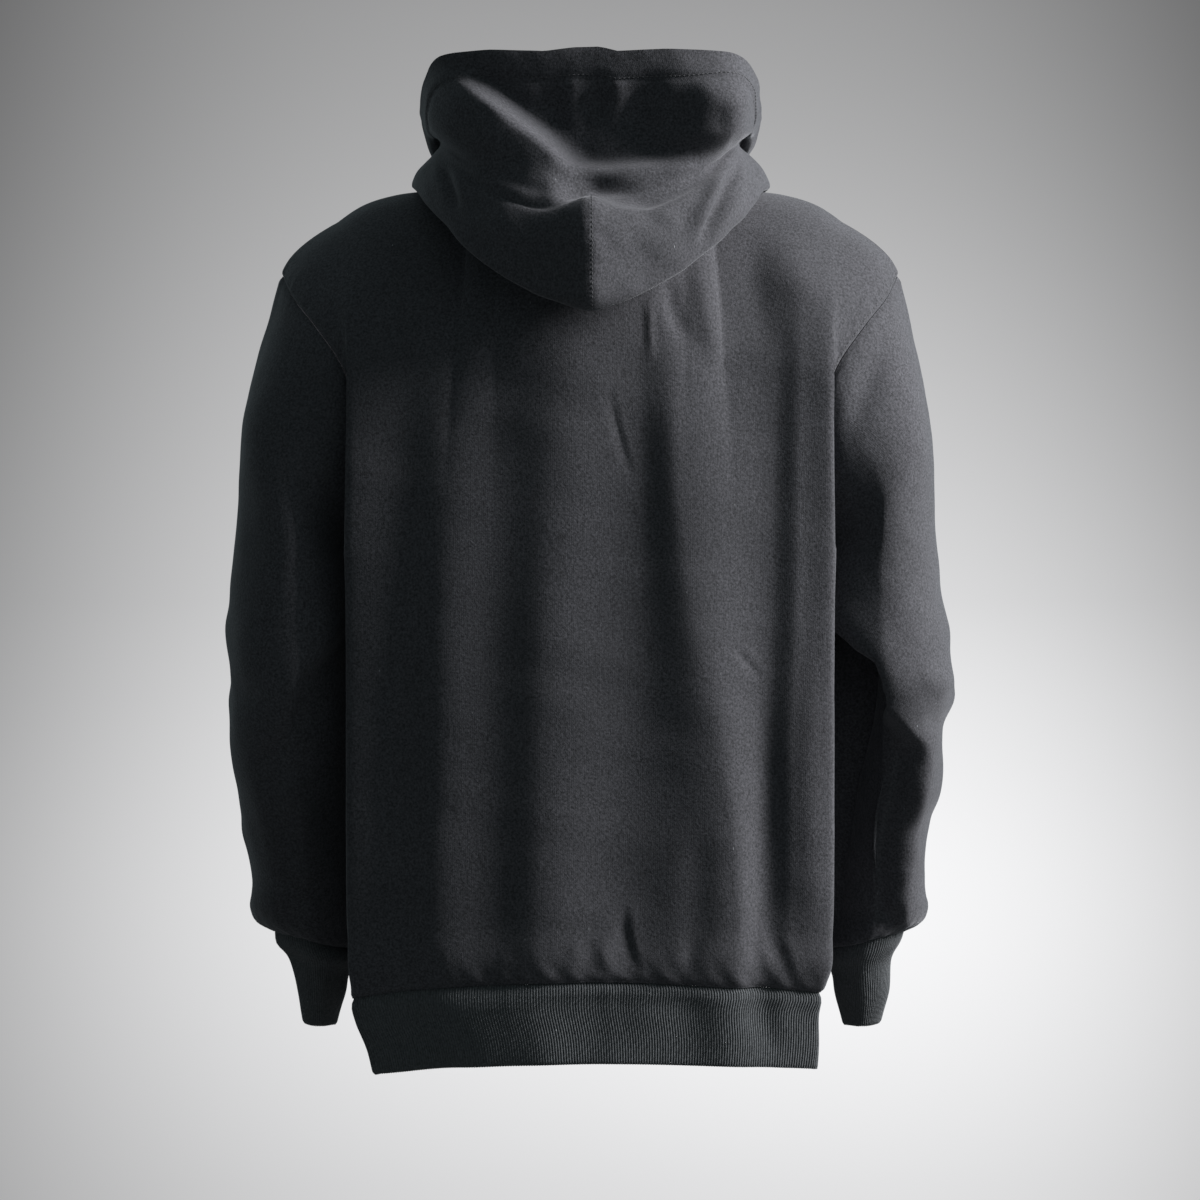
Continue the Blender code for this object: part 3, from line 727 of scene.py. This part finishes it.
# How the rim's top edge rises and dips from one side to the other
RIM_WAVE = millimetres(
    "x rise",
    (-140, -3), (-110, 0), (-60, 0.6), (-22, -1.2), (-8, 2.2), (12, 1.6), (36, -1.4), (80, 0.4),
    (140, -2),
)
RIM_REACH = 0.06  # how far down from the rim the cloth follows it


def relief_hood(grid, keys):
    """The hood's standing wall, its crease, its pouch with a keel, and its rim's channel."""
    x, z = grid[..., 0], grid[..., 2]
    down = lengths(grid[:, grid.shape[1] // 2])[:, None] * np.ones_like(x)
    wall_end, pouch_end = keys[2], keys[5]
    from_rim = lengths(grid)
    up = from_rim[-1] - from_rim
    behind = rise(grid[..., 1], *BEHIND)
    wall = smooth((wall_end + OVERLAP - down) / BLEND)
    pouch = smooth((down - wall_end + OVERLAP) / BLEND)
    pouch = pouch * smooth((pouch_end + POUCH_OVER - down) / POUCH_FADE)
    amount = fold_field(x, z, WALL_FOLDS) * wall * behind
    amount += fold_field(x, z, POUCH_FOLDS) * pouch * behind
    amount += uneven(grid, "hood")
    amount *= smooth(up / HOOD_FADE)
    amount += keel(x) * pouch * behind
    amount += CHANNEL_HEIGHT * smooth((CHANNEL - from_rim) / CHANNEL_STEP)
    amount -= GROOVE * bell(from_rim - CHANNEL, GROOVE_WIDTH)
    amount += seam_relief(np.abs(x) + (grid[..., 1] < 0), from_rim, CENTRE_PUCKER) * pouch
    amount += seam_relief(up)
    waved = moved(grid, amount)
    shown = behind * smooth((down + OVERLAP) / SHIFT_START) * smooth((keys[3] - down) / SHIFT_END)
    waved[..., 1] += wall_shift(x, z) * shown
    waved[..., 2] += read(RIM_WAVE, x, "rise") * smooth((RIM_REACH - from_rim) / RIM_REACH) * behind
    return waved


def wall_shift(x, z):
    """How far back the hood's standing wall comes beyond its ridges, less the recess between."""
    left = read(LEFT_RIDGE, x) - z
    right = read(RIGHT_RIDGE, x) - z
    foot = z - read(RECESS_FOOT, x)
    fill = smooth(left / LEFT_WIDTH) * rise(x, *LEFT_START)
    fill += smooth(right / RIGHT_WIDTH) * rise(-x, *RIGHT_START)
    inside = smooth(1 - left / LEFT_WIDTH) * smooth(foot / RECESS_EDGE)
    inside = inside * rise(x, RECESS_RIGHT, RECESS_EDGE)
    slope = RECESS_DEEP * (x - RECESS_RIGHT) / RECESS_SPAN
    under = RECESS_UNDER * smooth((RECESS_TOP[0] - z) / RECESS_TOP[1])
    flank = rise(-x, FLANK_SPAN[0], FLANK_SPAN[1] - FLANK_SPAN[0]) * rise(x, *FLANK_END)
    return FILL * fill + FLANK * flank * smooth(foot / FLANK_FOOT) - inside * (slope + under)


def keel(x):
    """How far the pouch stands out beyond its ring."""
    places = np.abs(x).ravel()
    return through(column(KEEL, "x"), column(KEEL, "out"), places).reshape(x.shape)


RIB_HEIGHT, RIB_ROUND = 0.0008, 0.8
# How a rib's free edge turns in, and how its sewn edge rolls: an amount, where, and how wide
EDGE_DIP, EDGE_WIDTH = 0.0010, 0.0016
HEM_ROLL = (0.0012, 0.008, 0.006)
HEM_WAVE_FADE, HEM_FOLD_FADE = 0.03, 0.018  # below the hem seam
HEM_FOLDS = folds(
    (-108, -600, -112, -760, 2, 20, 3.6),
    (-130, -652, -158, -710, 2, 12, -2.2),
    (-80, -600, -76, -760, 2, 26, -2.2),
    (84, -600, 72, -760, 2, 56, 8),
    (130, -655, 140, -710, 2, 14, -2),
)


def rib_knit(name, grid, ribs):
    """A closed wall of rib knit with this many ribs round it, which stand out on its face."""
    at = np.linspace(0, 1, ribs * RIB_POINTS + 1)
    smooth_face = np.array([spaced(np.vstack([row, row[:1]]), at)[:-1] for row in grid])
    ridge = np.abs(np.cos(np.pi * np.arange(smooth_face.shape[1]) / RIB_POINTS)) ** RIB_ROUND
    face = moved(smooth_face, RIB_HEIGHT * (ridge - 1) + np.zeros((len(grid), 1)), True)
    return shell(name, face, moved(smooth_face, np.full(face.shape[:2], -RIB_WALL), True), closed=True)


def roll(down, height, middle, width):
    return height * bell(down - middle, width)


def relief_hem(grid):
    """Soft waves of the hem band and a little roll at its seam and its folded edge."""
    down = lengths(grid)
    amount = uneven(grid, "hem") * smooth(down / HEM_WAVE_FADE)
    creases = fold_field(grid[..., 0], grid[..., 2], HEM_FOLDS) * smooth(normals(grid, True)[..., 1])
    amount += creases * smooth(down / HEM_FOLD_FADE)
    amount += roll(down, *HEM_ROLL) + seam_relief(down)
    amount -= EDGE_DIP * bell(down[-1] - down, EDGE_WIDTH)
    return moved(grid, amount, True)


# The cuff's roll under the sleeve's end, and the hollow below it
CUFF_ROLL = {"left": (0.0030, 0.012, 0.008), "right": (0.0012, 0.012, 0.008)}
CUFF_HOLLOW = (0.0007, 0.028, 0.008)
CUFF_WAVE_FADE = 0.02
CUFF_TAPER = 0.010  # how far the cuff's inner side comes in towards the hand
CUFF_INNER = (0.235, 0.04)  # the x within which that side begins, and over how much


def relief_cuff(grid, outer):
    down = lengths(grid)
    inner = smooth((CUFF_INNER[0] - grid[..., 0]) / CUFF_INNER[1])
    amount = uneven(grid, "cuff_" + outer) * smooth(down / CUFF_WAVE_FADE)
    amount += roll(down, *CUFF_ROLL[outer]) + seam_relief(down)
    amount -= roll(down, *CUFF_HOLLOW)
    amount -= CUFF_TAPER * inner * smooth(down / down[-1].max())
    amount -= EDGE_DIP * bell(down[-1] - down, EDGE_WIDTH)
    return moved(grid, amount, True)


# ---- meshes


SHARP = np.radians(66)  # a cut edge is sharp, and nothing else is


def placed(name, data, place=(0, 0, 0), turn=(0, 0, 0)):
    """A new object in the scene."""
    thing = bpy.data.objects.new(name, data)
    thing.location = place
    thing.rotation_euler = turn
    bpy.context.scene.collection.objects.link(thing)
    return thing


def meshed(name, points, faces):
    mesh = bpy.data.meshes.new(name)
    mesh.from_pydata(points, [], faces)
    return mesh


def shell(name, grid, inside, closed=False):
    """A closed wall of cloth between two grids, with UVs in metres along and down the cloth."""
    rows, columns = grid.shape[:2]
    index = np.arange(rows * columns).reshape(rows, columns)
    line = grid
    if closed:
        index = np.concatenate([index, index[:, :1]], axis=1)
        line = np.concatenate([grid, grid[:, :1]], axis=1)
    u = row_lengths(line)
    u = u - u[:, u.shape[1] // 2 : u.shape[1] // 2 + 1]
    uv = np.stack([u, -lengths(line)], axis=-1)
    under = index + rows * columns
    faces, corners = [], []
    for at, other in ((index, False), (under, True)):
        for source, into in ((at, faces), (uv, corners)):
            ring = [source[:-1, :-1], source[1:, :-1], source[1:, 1:], source[:-1, 1:]]
            ring = np.stack(ring[::-1] if other else ring, axis=2)
            into.append(ring.reshape((-1, 4) + source.shape[2:]))
    edges = [(index[0], under[0], uv[0]), (index[-1][::-1], under[-1][::-1], uv[-1][::-1])]
    if not closed:
        edges += [(index[::-1, 0], under[::-1, 0], uv[::-1, 0]), (index[:, -1], under[:, -1], uv[:, -1])]
    for top, low, place in edges:
        faces.append(np.stack([top[:-1], top[1:], low[1:], low[:-1]], axis=1))
        corners.append(np.stack([place[:-1], place[1:], place[1:], place[:-1]], axis=1))
    points = np.concatenate([grid.reshape(-1, 3), inside.reshape(-1, 3)])
    mesh = meshed(name, points.tolist(), np.concatenate(faces).tolist())
    layer = mesh.uv_layers.new(name="cloth")
    layer.data.foreach_set("uv", np.concatenate(corners).astype(np.float32).ravel())
    mesh.shade_smooth()
    mesh.set_sharp_from_angle(angle=SHARP)
    return placed(name, mesh)


STITCH = dict(length=0.0026, gap=0.0011, radius=0.00035)
# A stitch's rings: their places as shares of its length, their sizes, and how deep they lie
POD = ((-0.5, 0.25, 0.9), (-0.3, 0.85, 0.1), (0.0, 1.0, 0.1), (0.3, 0.85, 0.1), (0.5, 0.25, 0.9))
POD_SIDES = 6


def stitches(name, line, outwards):
    """A row of machine stitches along a line on the cloth, as one mesh of small pods."""
    pitch = STITCH["length"] + STITCH["gap"]
    count = int(lengths(line)[-1] / pitch)
    at = (np.arange(count) + 0.5) / count
    centre = spaced(line, at)
    out = unit(spaced(np.column_stack([line, outwards]), at)[:, 3:])
    along = unit(np.gradient(centre, axis=0))
    across = np.cross(out, along)
    turn = np.arange(POD_SIDES) * 2 * np.pi / POD_SIDES
    points, faces = [], []
    for c, o, a, s in zip(centre, out, along, across):
        first = len(points)
        rings = [np.arange(POD_SIDES) + first + k * POD_SIDES for k in range(len(POD))]
        for where, size, depth in POD:
            middle = c + a * where * STITCH["length"] - o * STITCH["radius"] * depth
            for angle in turn:
                ring = s * np.cos(angle) + o * np.sin(angle)
                points.append(middle + ring * size * STITCH["radius"])
        for low, high in zip(rings, rings[1:]):
            faces += np.stack([low, np.roll(low, -1), np.roll(high, -1), high], axis=1).tolist()
        faces += [rings[0][::-1].tolist(), rings[-1].tolist()]
    mesh = meshed(name, [list(p) for p in points], faces)
    mesh.shade_smooth()
    return placed(name, mesh)


# ---- materials


class Nodes:
    """A short way to write the node tree of a material or a world."""

    def __init__(self, owner):
        owner.use_nodes = True
        self.tree = owner.node_tree
        self.tree.nodes.clear()

    def add(self, kind, settings=None, **inputs):
        node = self.tree.nodes.new("ShaderNode" + kind)
        for name, value in (settings or {}).items():
            setattr(node, name, value)
        for name, value in inputs.items():
            self.put(node, name, value)
        return node

    def put(self, node, name, value):
        """Sets an input, or links it. An input whose name isn't its own is called i and its place."""
        socket = node.inputs[int(name[1:]) if name[1:].isdigit() else name]
        if isinstance(value, bpy.types.NodeSocket):
            self.tree.links.new(value, socket)
        else:
            socket.default_value = value

    def math(self, operation, a, b=0.0):
        return self.add("Math", dict(operation=operation), i0=a, i1=b).outputs[0]

    def times(self, a, b):
        return self.math("MULTIPLY", a, b)

    def plus(self, a, b):
        return self.math("ADD", a, b)

    def vector(self, operation, **inputs):
        return self.add("VectorMath", dict(operation=operation), **inputs).outputs[0]

    def noise(self, vector, scale, detail=2.0, roughness=0.5):
        look = dict(Scale=scale, Detail=detail, Roughness=roughness)
        return self.add("TexNoise", Vector=vector, **look).outputs["Fac"]

    def spread(self, value, low, high, to_low=0.0, to_high=1.0):
        """The value, with low and high turned into these two, and held between them."""
        return self.add("MapRange", i0=value, i1=low, i2=high, i3=to_low, i4=to_high).outputs[0]

    def mix(self, factor, a, b):
        return self.add("Mix", dict(data_type="RGBA"), i0=factor, i6=a, i7=b).outputs[2]

    def surface(self, colour, rough, **inputs):
        inputs.update({"Base Color": colour, "Roughness": rough})
        shader = self.add("BsdfPrincipled", **inputs)
        self.add("OutputMaterial", Surface=shader.outputs[0])


LOOP_SLANT = 1.5  # courses that a stitch's legs rise across a wale


def knit_height(nodes, uv, wale, course):
    """The V stitches of a knit's face: wales side by side, and courses that slant to each."""
    split = nodes.add("SeparateXYZ", Vector=uv)
    across = nodes.math("FRACT", nodes.math("DIVIDE", split.outputs["X"], wale))
    off = nodes.math("ABSOLUTE", nodes.math("SUBTRACT", across, 0.5))
    along = nodes.math("DIVIDE", split.outputs["Y"], course)
    slant = nodes.plus(along, nodes.times(off, LOOP_SLANT))
    loops = nodes.math("SINE", nodes.times(slant, 2 * np.pi))
    gutter = nodes.math("COSINE", nodes.times(across, 2 * np.pi))
    return nodes.math("SUBTRACT", nodes.times(loops, 0.5), nodes.times(gutter, 0.5))


LINT_COLOUR = (0.30, 0.31, 0.33, 1)
LINT_SHAPE = (1.0, 0.5, 0.3)  # a fibre's thickness against its length on each axis
LINT_BEND = 0.008
LINT_CELL = 85.0  # cells in a metre, with a fibre in the middle of each
LINT_EDGE = (0.032, 0.018)  # a fibre's outer and inner half thickness, as shares of a cell


def lint(nodes, place):
    """Sparse short fibres, each a little bent and of its own paleness."""
    bend = nodes.add("TexNoise", Vector=place, Scale=70.0, Detail=1.0).outputs["Color"]
    bent = nodes.vector("MULTIPLY_ADD", i0=bend, i1=(LINT_BEND,) * 3, i2=place)
    shaped = nodes.vector("MULTIPLY", i0=bent, i1=LINT_SHAPE)
    cells = nodes.add("TexVoronoi", Vector=shaped, Scale=LINT_CELL)
    near = nodes.spread(cells.outputs["Distance"], *LINT_EDGE)
    paleness = nodes.add("SeparateColor", Color=cells.outputs["Color"]).outputs[0]
    return nodes.times(near, paleness)


# A cloth's two tones, the size of its stitches, how much its wales and its nap show, and its gloss
FLEECE = dict(
    dark=(0.022, 0.022, 0.025, 1),
    light=(0.069, 0.068, 0.077, 1),
    wale=0.0015,
    course=0.0012,
    wales=0.03,
    fuzz=1.0,
    rough=0.90,
    sheen=0.18,
)
RIB = dict(
    dark=(0.041, 0.044, 0.047, 1),
    light=(0.089, 0.095, 0.101, 1),
    wale=0.0012,
    course=0.0011,
    wales=0.12,
    fuzz=0.7,
    rough=0.86,
    sheen=0.15,
)
SHEEN_TINT = (0.86, 0.86, 0.92, 1)
SPECKLE, PATCHES, NAP, LUMPS, TWIST = 560.0, 9.0, 1300.0, 420.0, 2600.0  # of each in a metre
THREAD = ((0.020, 0.020, 0.022, 1), (0.060, 0.060, 0.066, 1))


def cloth_material(name, dark, light, wale, course, wales, fuzz, rough, sheen):
    """Black cotton knit: stitches, a brushed nap, uneven dye and sparse pale lint."""
    material = bpy.data.materials.new(name)
    nodes = Nodes(material)
    uv = nodes.add("UVMap", dict(uv_map="cloth")).outputs[0]
    place = nodes.add("TexCoord").outputs["Object"]
    speckle = nodes.spread(nodes.noise(place, SPECKLE, 1.5, 0.6), 0.30, 0.70)
    patches = nodes.noise(place, PATCHES, 3.0)
    knit = knit_height(nodes, uv, wale, course)
    tone = nodes.times(speckle, nodes.spread(patches, 0.3, 0.7, 0.75, 1.1))
    tone = nodes.plus(tone, nodes.times(knit, wales))
    colour = nodes.mix(tone, dark, light)
    colour = nodes.mix(lint(nodes, place), colour, LINT_COLOUR)
    nap = nodes.noise(place, NAP, 2.0, 0.7)
    height = nodes.plus(nodes.times(knit, 4 * wales), nodes.times(nap, fuzz))
    height = nodes.plus(height, nodes.times(nodes.noise(place, LUMPS, 1.0), 1.2))
    bump = nodes.add("Bump", Height=height, Strength=0.7, Distance=0.00035)
    gloss = {"Specular IOR Level": 0.25, "Sheen Weight": sheen}
    gloss.update({"Sheen Roughness": 0.45, "Sheen Tint": SHEEN_TINT})
    rough = nodes.spread(patches, 0.3, 0.7, rough - 0.03, rough + 0.03)
    nodes.surface(colour, rough, Normal=bump.outputs[0], **gloss)
    return material


def thread_material():
    material = bpy.data.materials.new("thread")
    nodes = Nodes(material)
    place = nodes.add("TexCoord").outputs["Object"]
    twist = nodes.noise(place, TWIST, 2.0)
    colour = nodes.mix(twist, *THREAD)
    bump = nodes.add("Bump", Height=twist, Strength=0.5, Distance=0.0001)
    nodes.surface(colour, 0.6, Normal=bump.outputs[0])
    return material


# ---- the pieces


def dress(thing, node, material):
    """What every cloth piece needs: its material, its body, and its CAD node hidden."""
    thing.data.materials.append(material)
    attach(thing, "root")
    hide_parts(node)


STITCH_LIFT, CHANNEL_LIFT = 0.0002, 0.0003  # how high the thread lies on the cloth


def sew(name, line, outwards, thread, lift=STITCH_LIFT):
    thing = stitches(name, line + outwards * lift, outwards)
    thing.data.materials.append(thread)
    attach(thing, "root")


# The left edge by the hem seam: how far out it stands, at what height, and over what height
FLARE, FLARE_AT, FLARE_REACH = 0.013, -0.668, 0.018
DROOP = 0.005  # how much lower the hem seam and the hem hang there
DROOP_FROM = (0.600, 0.060)  # how far down it begins, and over what height
CORNER = (0.110, 0.075)  # the x from which both begin, and over how much


def flared(grid, share=1.0):
    """The left edge by the hem seam, pulled down and out level with the body above it."""
    x, z = grid[..., 0], grid[..., 2]
    side = rise(x, *CORNER) * share
    out = grid.copy()
    out[..., 0] += FLARE * bell(z - FLARE_AT, FLARE_REACH) * side
    out[..., 2] -= DROOP * rise(-z, *DROOP_FROM) * side
    return out


FRONT_LIFT = 0.003  # how much higher the band's free edge is in front of its back corners
LIFT_FROM = (-0.066, 0.03)  # how far forward it begins, and over how much
HEM_SETTLE, CUFF_SETTLE = 0.040, 0.012  # how soon ribs below a seam leave the cloth's line above it


def settling(rows, reach):
    """From 1 at the first row towards 0 in the rows below it."""
    return np.exp(-lengths(rows).mean(axis=1) / reach)[:, None]


def make_hem(back, front):
    """The hem band, from the panels' last rows: its top keeps their places."""
    behind = body_rows(HEM, True, HEM_STEP, end=True)
    before = body_rows(HEM, False, HEM_STEP, end=True)[:, ::-1]
    rows = np.concatenate([behind, before[:, 1:-1]], axis=1)
    top = np.concatenate([back[-1], front[-1][1:-1]])
    fade = settling(rows, HEM_SETTLE)
    rows = flared(rows + (top - rows[0]) * fade[..., None], 1 - fade)
    down = np.linspace(0, 1, len(rows))[:, None]
    rows[..., 0] += HEM_SHIFT * down
    rows[..., 2] += FRONT_LIFT * rise(-rows[..., 1], *LIFT_FROM) * down**2
    return rib_knit("cloth_hem", relief_hem(rows), HEM_RIBS)


def cuff_grid(sleeve, outer):
    rows = rows_through([arm_ring(row, outer) for row in CUFF], start=False)
    return relief_cuff(rows + (sleeve[-1] - rows[0]) * settling(rows, CUFF_SETTLE)[..., None], outer)


def fleece_wall(name, grid, closed=False):
    return shell(name, grid, moved(grid, np.full(grid.shape[:2], -FLEECE_WALL), closed), closed)


def make_pieces():
    fleece, rib = cloth_material("fleece", **FLEECE), cloth_material("rib", **RIB)
    thread = thread_material()
    back = flared(relief_panel(panel(True), True))
    front = flared(relief_panel(panel(False), False))
    hood, keys = hood_grid()
    hood = relief_hood(hood, keys)
    middle = hood.shape[1] // 2
    dress(fleece_wall("cloth_back", back), "back_panel", fleece)
    dress(fleece_wall("cloth_front", front), "front_panel", fleece)
    halves = {"left": hood[:, : middle + 1], "right": hood[:, middle:]}
    for side, grid in halves.items():
        made = fleece_wall("cloth_hood_" + side, grid)
        dress(made, "hood_" + side, fleece)
    for side, rows in (("left", LEFT_BACK), ("right", RIGHT_BACK)):
        sleeve = relief_sleeve(sleeve_grid(side), side, rows)
        cuff = cuff_grid(sleeve, side)
        if side == "right":
            sleeve, cuff = mirrored(sleeve)[:, ::-1], mirrored(cuff)[:, ::-1]
        made = fleece_wall("cloth_sleeve_" + side, sleeve, closed=True)
        dress(made, "sleeve_" + side, fleece)
        made = rib_knit("cloth_cuff_" + side, cuff, CUFF_RIBS)
        dress(made, "cuff_" + side, rib)
    dress(make_hem(back, front), "hem_band", rib)
    sew_hood(hood, thread)
    sew_armholes(back, front, thread)


ARMHOLE_INSET, ARMHOLE_ROWS = 0.0055, slice(3, len(YOKE) - 3)  # in from the edge, and off its ends
POUCH_FROM, NECK_TO = 0.150, 0.004  # from the rim to the pouch's upper edge, and up from the neck


def beside_edge(grid, from_right):
    """The line of an armhole's topstitching, in from a panel's side edge, and its outward direction."""
    out, lines = normals(grid)[ARMHOLE_ROWS], grid[ARMHOLE_ROWS]
    lines = lines[:, ::-1] if from_right else lines
    out = out[:, ::-1] if from_right else out
    along = row_lengths(lines)
    line = [[np.interp(ARMHOLE_INSET, a, p[:, k]) for k in range(3)] for a, p in zip(along, lines)]
    return np.array(line), out[:, 2]


def sew_armholes(back, front, thread):
    """A row of topstitching on the body's side of each armhole seam, behind and in front."""
    for name, grid in (("back", back), ("front", front)):
        for side, from_right in (("left", name == "front"), ("right", name == "back")):
            line, out = beside_edge(grid, from_right)
            sew(f"stitch_armhole_{name}_{side}", line, out, thread)


def sew_hood(hood, thread):
    """The hood's topstitching: beside the centre seam, and along the rim's channel."""
    out = normals(hood)
    middle = hood.shape[1] // 2
    down = lengths(hood)
    shown = (down[:, middle] > POUCH_FROM) & (down[:, middle] < down[-1, middle] - NECK_TO)
    sew("stitch_hood_centre", hood[shown, middle + 1], out[shown, middle + 1], thread)
    row = np.array([np.interp(CHANNEL, down[:, j], np.arange(len(hood))) for j in range(hood.shape[1])])
    low = np.floor(row).astype(int)
    share = (row - low)[:, None]
    columns = np.arange(hood.shape[1])
    line = hood[low, columns] * (1 - share) + hood[low + 1, columns] * share
    sew("stitch_hood_channel", line, out[low, columns], thread, CHANNEL_LIFT)


# ---- stage, light and camera

CAMERA = (-0.0082, 4.0, -0.336)
LENS = 146.3
KEY = (-3.84, 0.63, 1.70)
KEY_AIM = (0.0, 0.0, -0.33)
KEY_SIZE, KEY_POWER = 1.5, 530


def make_light():
    """One large soft light, high on the wearer's right and a little behind."""
    data = bpy.data.lights.new("key", "AREA")
    data.energy = KEY_POWER
    data.size = KEY_SIZE
    x, y, z = unit(np.array(KEY) - np.array(KEY_AIM))
    placed("key", data, KEY, (np.arccos(z), 0.0, np.arctan2(x, -y)))


BACKDROP = table(
    "height grey",
    (-0.160, 0.60), (-0.119, 0.73), (-0.092, 0.84), (-0.062, 0.93), (-0.031, 0.86),
    (0.000, 0.73), (0.062, 0.51), (0.119, 0.34), (0.160, 0.26),
)
# How fast the backdrop darkens to its sides, and how much unevenly, low down and high up
VIGNETTE, LEAN, LEAN_SPAN = (155.0, 445.0), (1.5, 0.1), (-0.02, 0.13)
STEADY = 0.125  # how far to the side its tone stays the same from
# The even light from the picture's right and left, what the front adds, and the light's colour
EVEN_SIDES, EVEN_FRONT, FRONT_SPAN = (0.28, 0.12), 0.40, (-0.1, -0.9)
EVEN_COLOUR = (0.80, 0.98, 1.0, 1)


def make_world():
    """A studio backdrop that only the camera sees, over a dim even light."""
    world = bpy.data.worlds.new("studio")
    bpy.context.scene.world = world
    nodes = Nodes(world)
    way = nodes.add("TexCoord").outputs["Generated"]
    part = nodes.add("SeparateXYZ", Vector=way)
    across, height = part.outputs["X"], part.outputs["Z"]
    near = nodes.spread(across, -STEADY, STEADY, -STEADY, STEADY)
    low, high = BACKDROP[0]["height"], BACKDROP[-1]["height"]
    ramp = nodes.add("ValToRGB", Fac=nodes.spread(height, low, high))
    ramp.color_ramp.interpolation = "B_SPLINE"
    elements = ramp.color_ramp.elements
    while len(elements) < len(BACKDROP):
        elements.new(0.5)
    for element, row in zip(elements, BACKDROP):
        element.position = (row["height"] - low) / (high - low)
        element.color = (row["grey"], row["grey"], row["grey"] * 1.01, 1)
    cube = nodes.math("POWER", nodes.math("ABSOLUTE", near), 3.0)
    darkening = nodes.times(cube, nodes.spread(height, low, high, *VIGNETTE))
    lean = nodes.times(near, nodes.spread(height, *LEAN_SPAN, *LEAN))
    tone = nodes.math("EXPONENT", nodes.times(darkening, -1.0))
    tone = nodes.times(tone, nodes.math("SUBTRACT", 1.0, lean))
    shown = nodes.add("LightPath").outputs["Is Camera Ray"]
    backdrop = nodes.add("Background", Color=ramp.outputs[0], Strength=tone)
    level = nodes.spread(across, -1.0, 1.0, *EVEN_SIDES)
    level = nodes.plus(level, nodes.spread(part.outputs["Y"], *FRONT_SPAN, 0.0, EVEN_FRONT))
    even = nodes.add("Background", Color=EVEN_COLOUR, Strength=level)
    both = nodes.add("MixShader", i0=shown, i1=even.outputs[0], i2=backdrop.outputs[0])
    nodes.add("OutputWorld", Surface=both.outputs[0])


FLOOR_Z, FLOOR_REACH = -1.42, 4.4
FLOOR_LIT, FLOOR_SEEN = (0.10, 0.10, 0.10, 1), (0.62, 0.62, 0.63, 1)


def make_floor():
    """A plain pale floor far below the hanging hoodie, fading into the backdrop."""
    r = FLOOR_REACH
    corners = [(-r, -r, 0), (r, -r, 0), (r, r, 0), (-r, r, 0)]
    floor = placed("floor", meshed("floor", corners, [(0, 1, 2, 3)]), (0, 0, FLOOR_Z))
    material = bpy.data.materials.new("floor")
    nodes = Nodes(material)
    place = nodes.add("TexCoord").outputs["Object"]
    away = nodes.add("VectorMath", dict(operation="LENGTH"), i0=place).outputs["Value"]
    cover = nodes.spread(away, FLOOR_REACH, 0.35 * FLOOR_REACH)
    shown = nodes.add("LightPath").outputs["Is Camera Ray"]
    matt = nodes.add("BsdfDiffuse", Color=nodes.mix(shown, FLOOR_LIT, FLOOR_SEEN))
    clear = nodes.add("BsdfTransparent")
    both = nodes.add("MixShader", i0=cover, i1=clear.outputs[0], i2=matt.outputs[0])
    nodes.add("OutputMaterial", Surface=both.outputs[0])
    floor.data.materials.append(material)


def make_camera():
    data = bpy.data.cameras.new("camera")
    data.lens = LENS
    data.sensor_width = 36
    bpy.context.scene.camera = placed("camera", data, CAMERA, (np.pi / 2, 0, np.pi))


def main():
    for thing in list(bpy.data.objects):
        bpy.data.objects.remove(thing)
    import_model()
    bpy.context.scene.view_settings.view_transform = "Standard"
    make_pieces()
    make_light()
    make_world()
    make_floor()
    make_camera()


main()
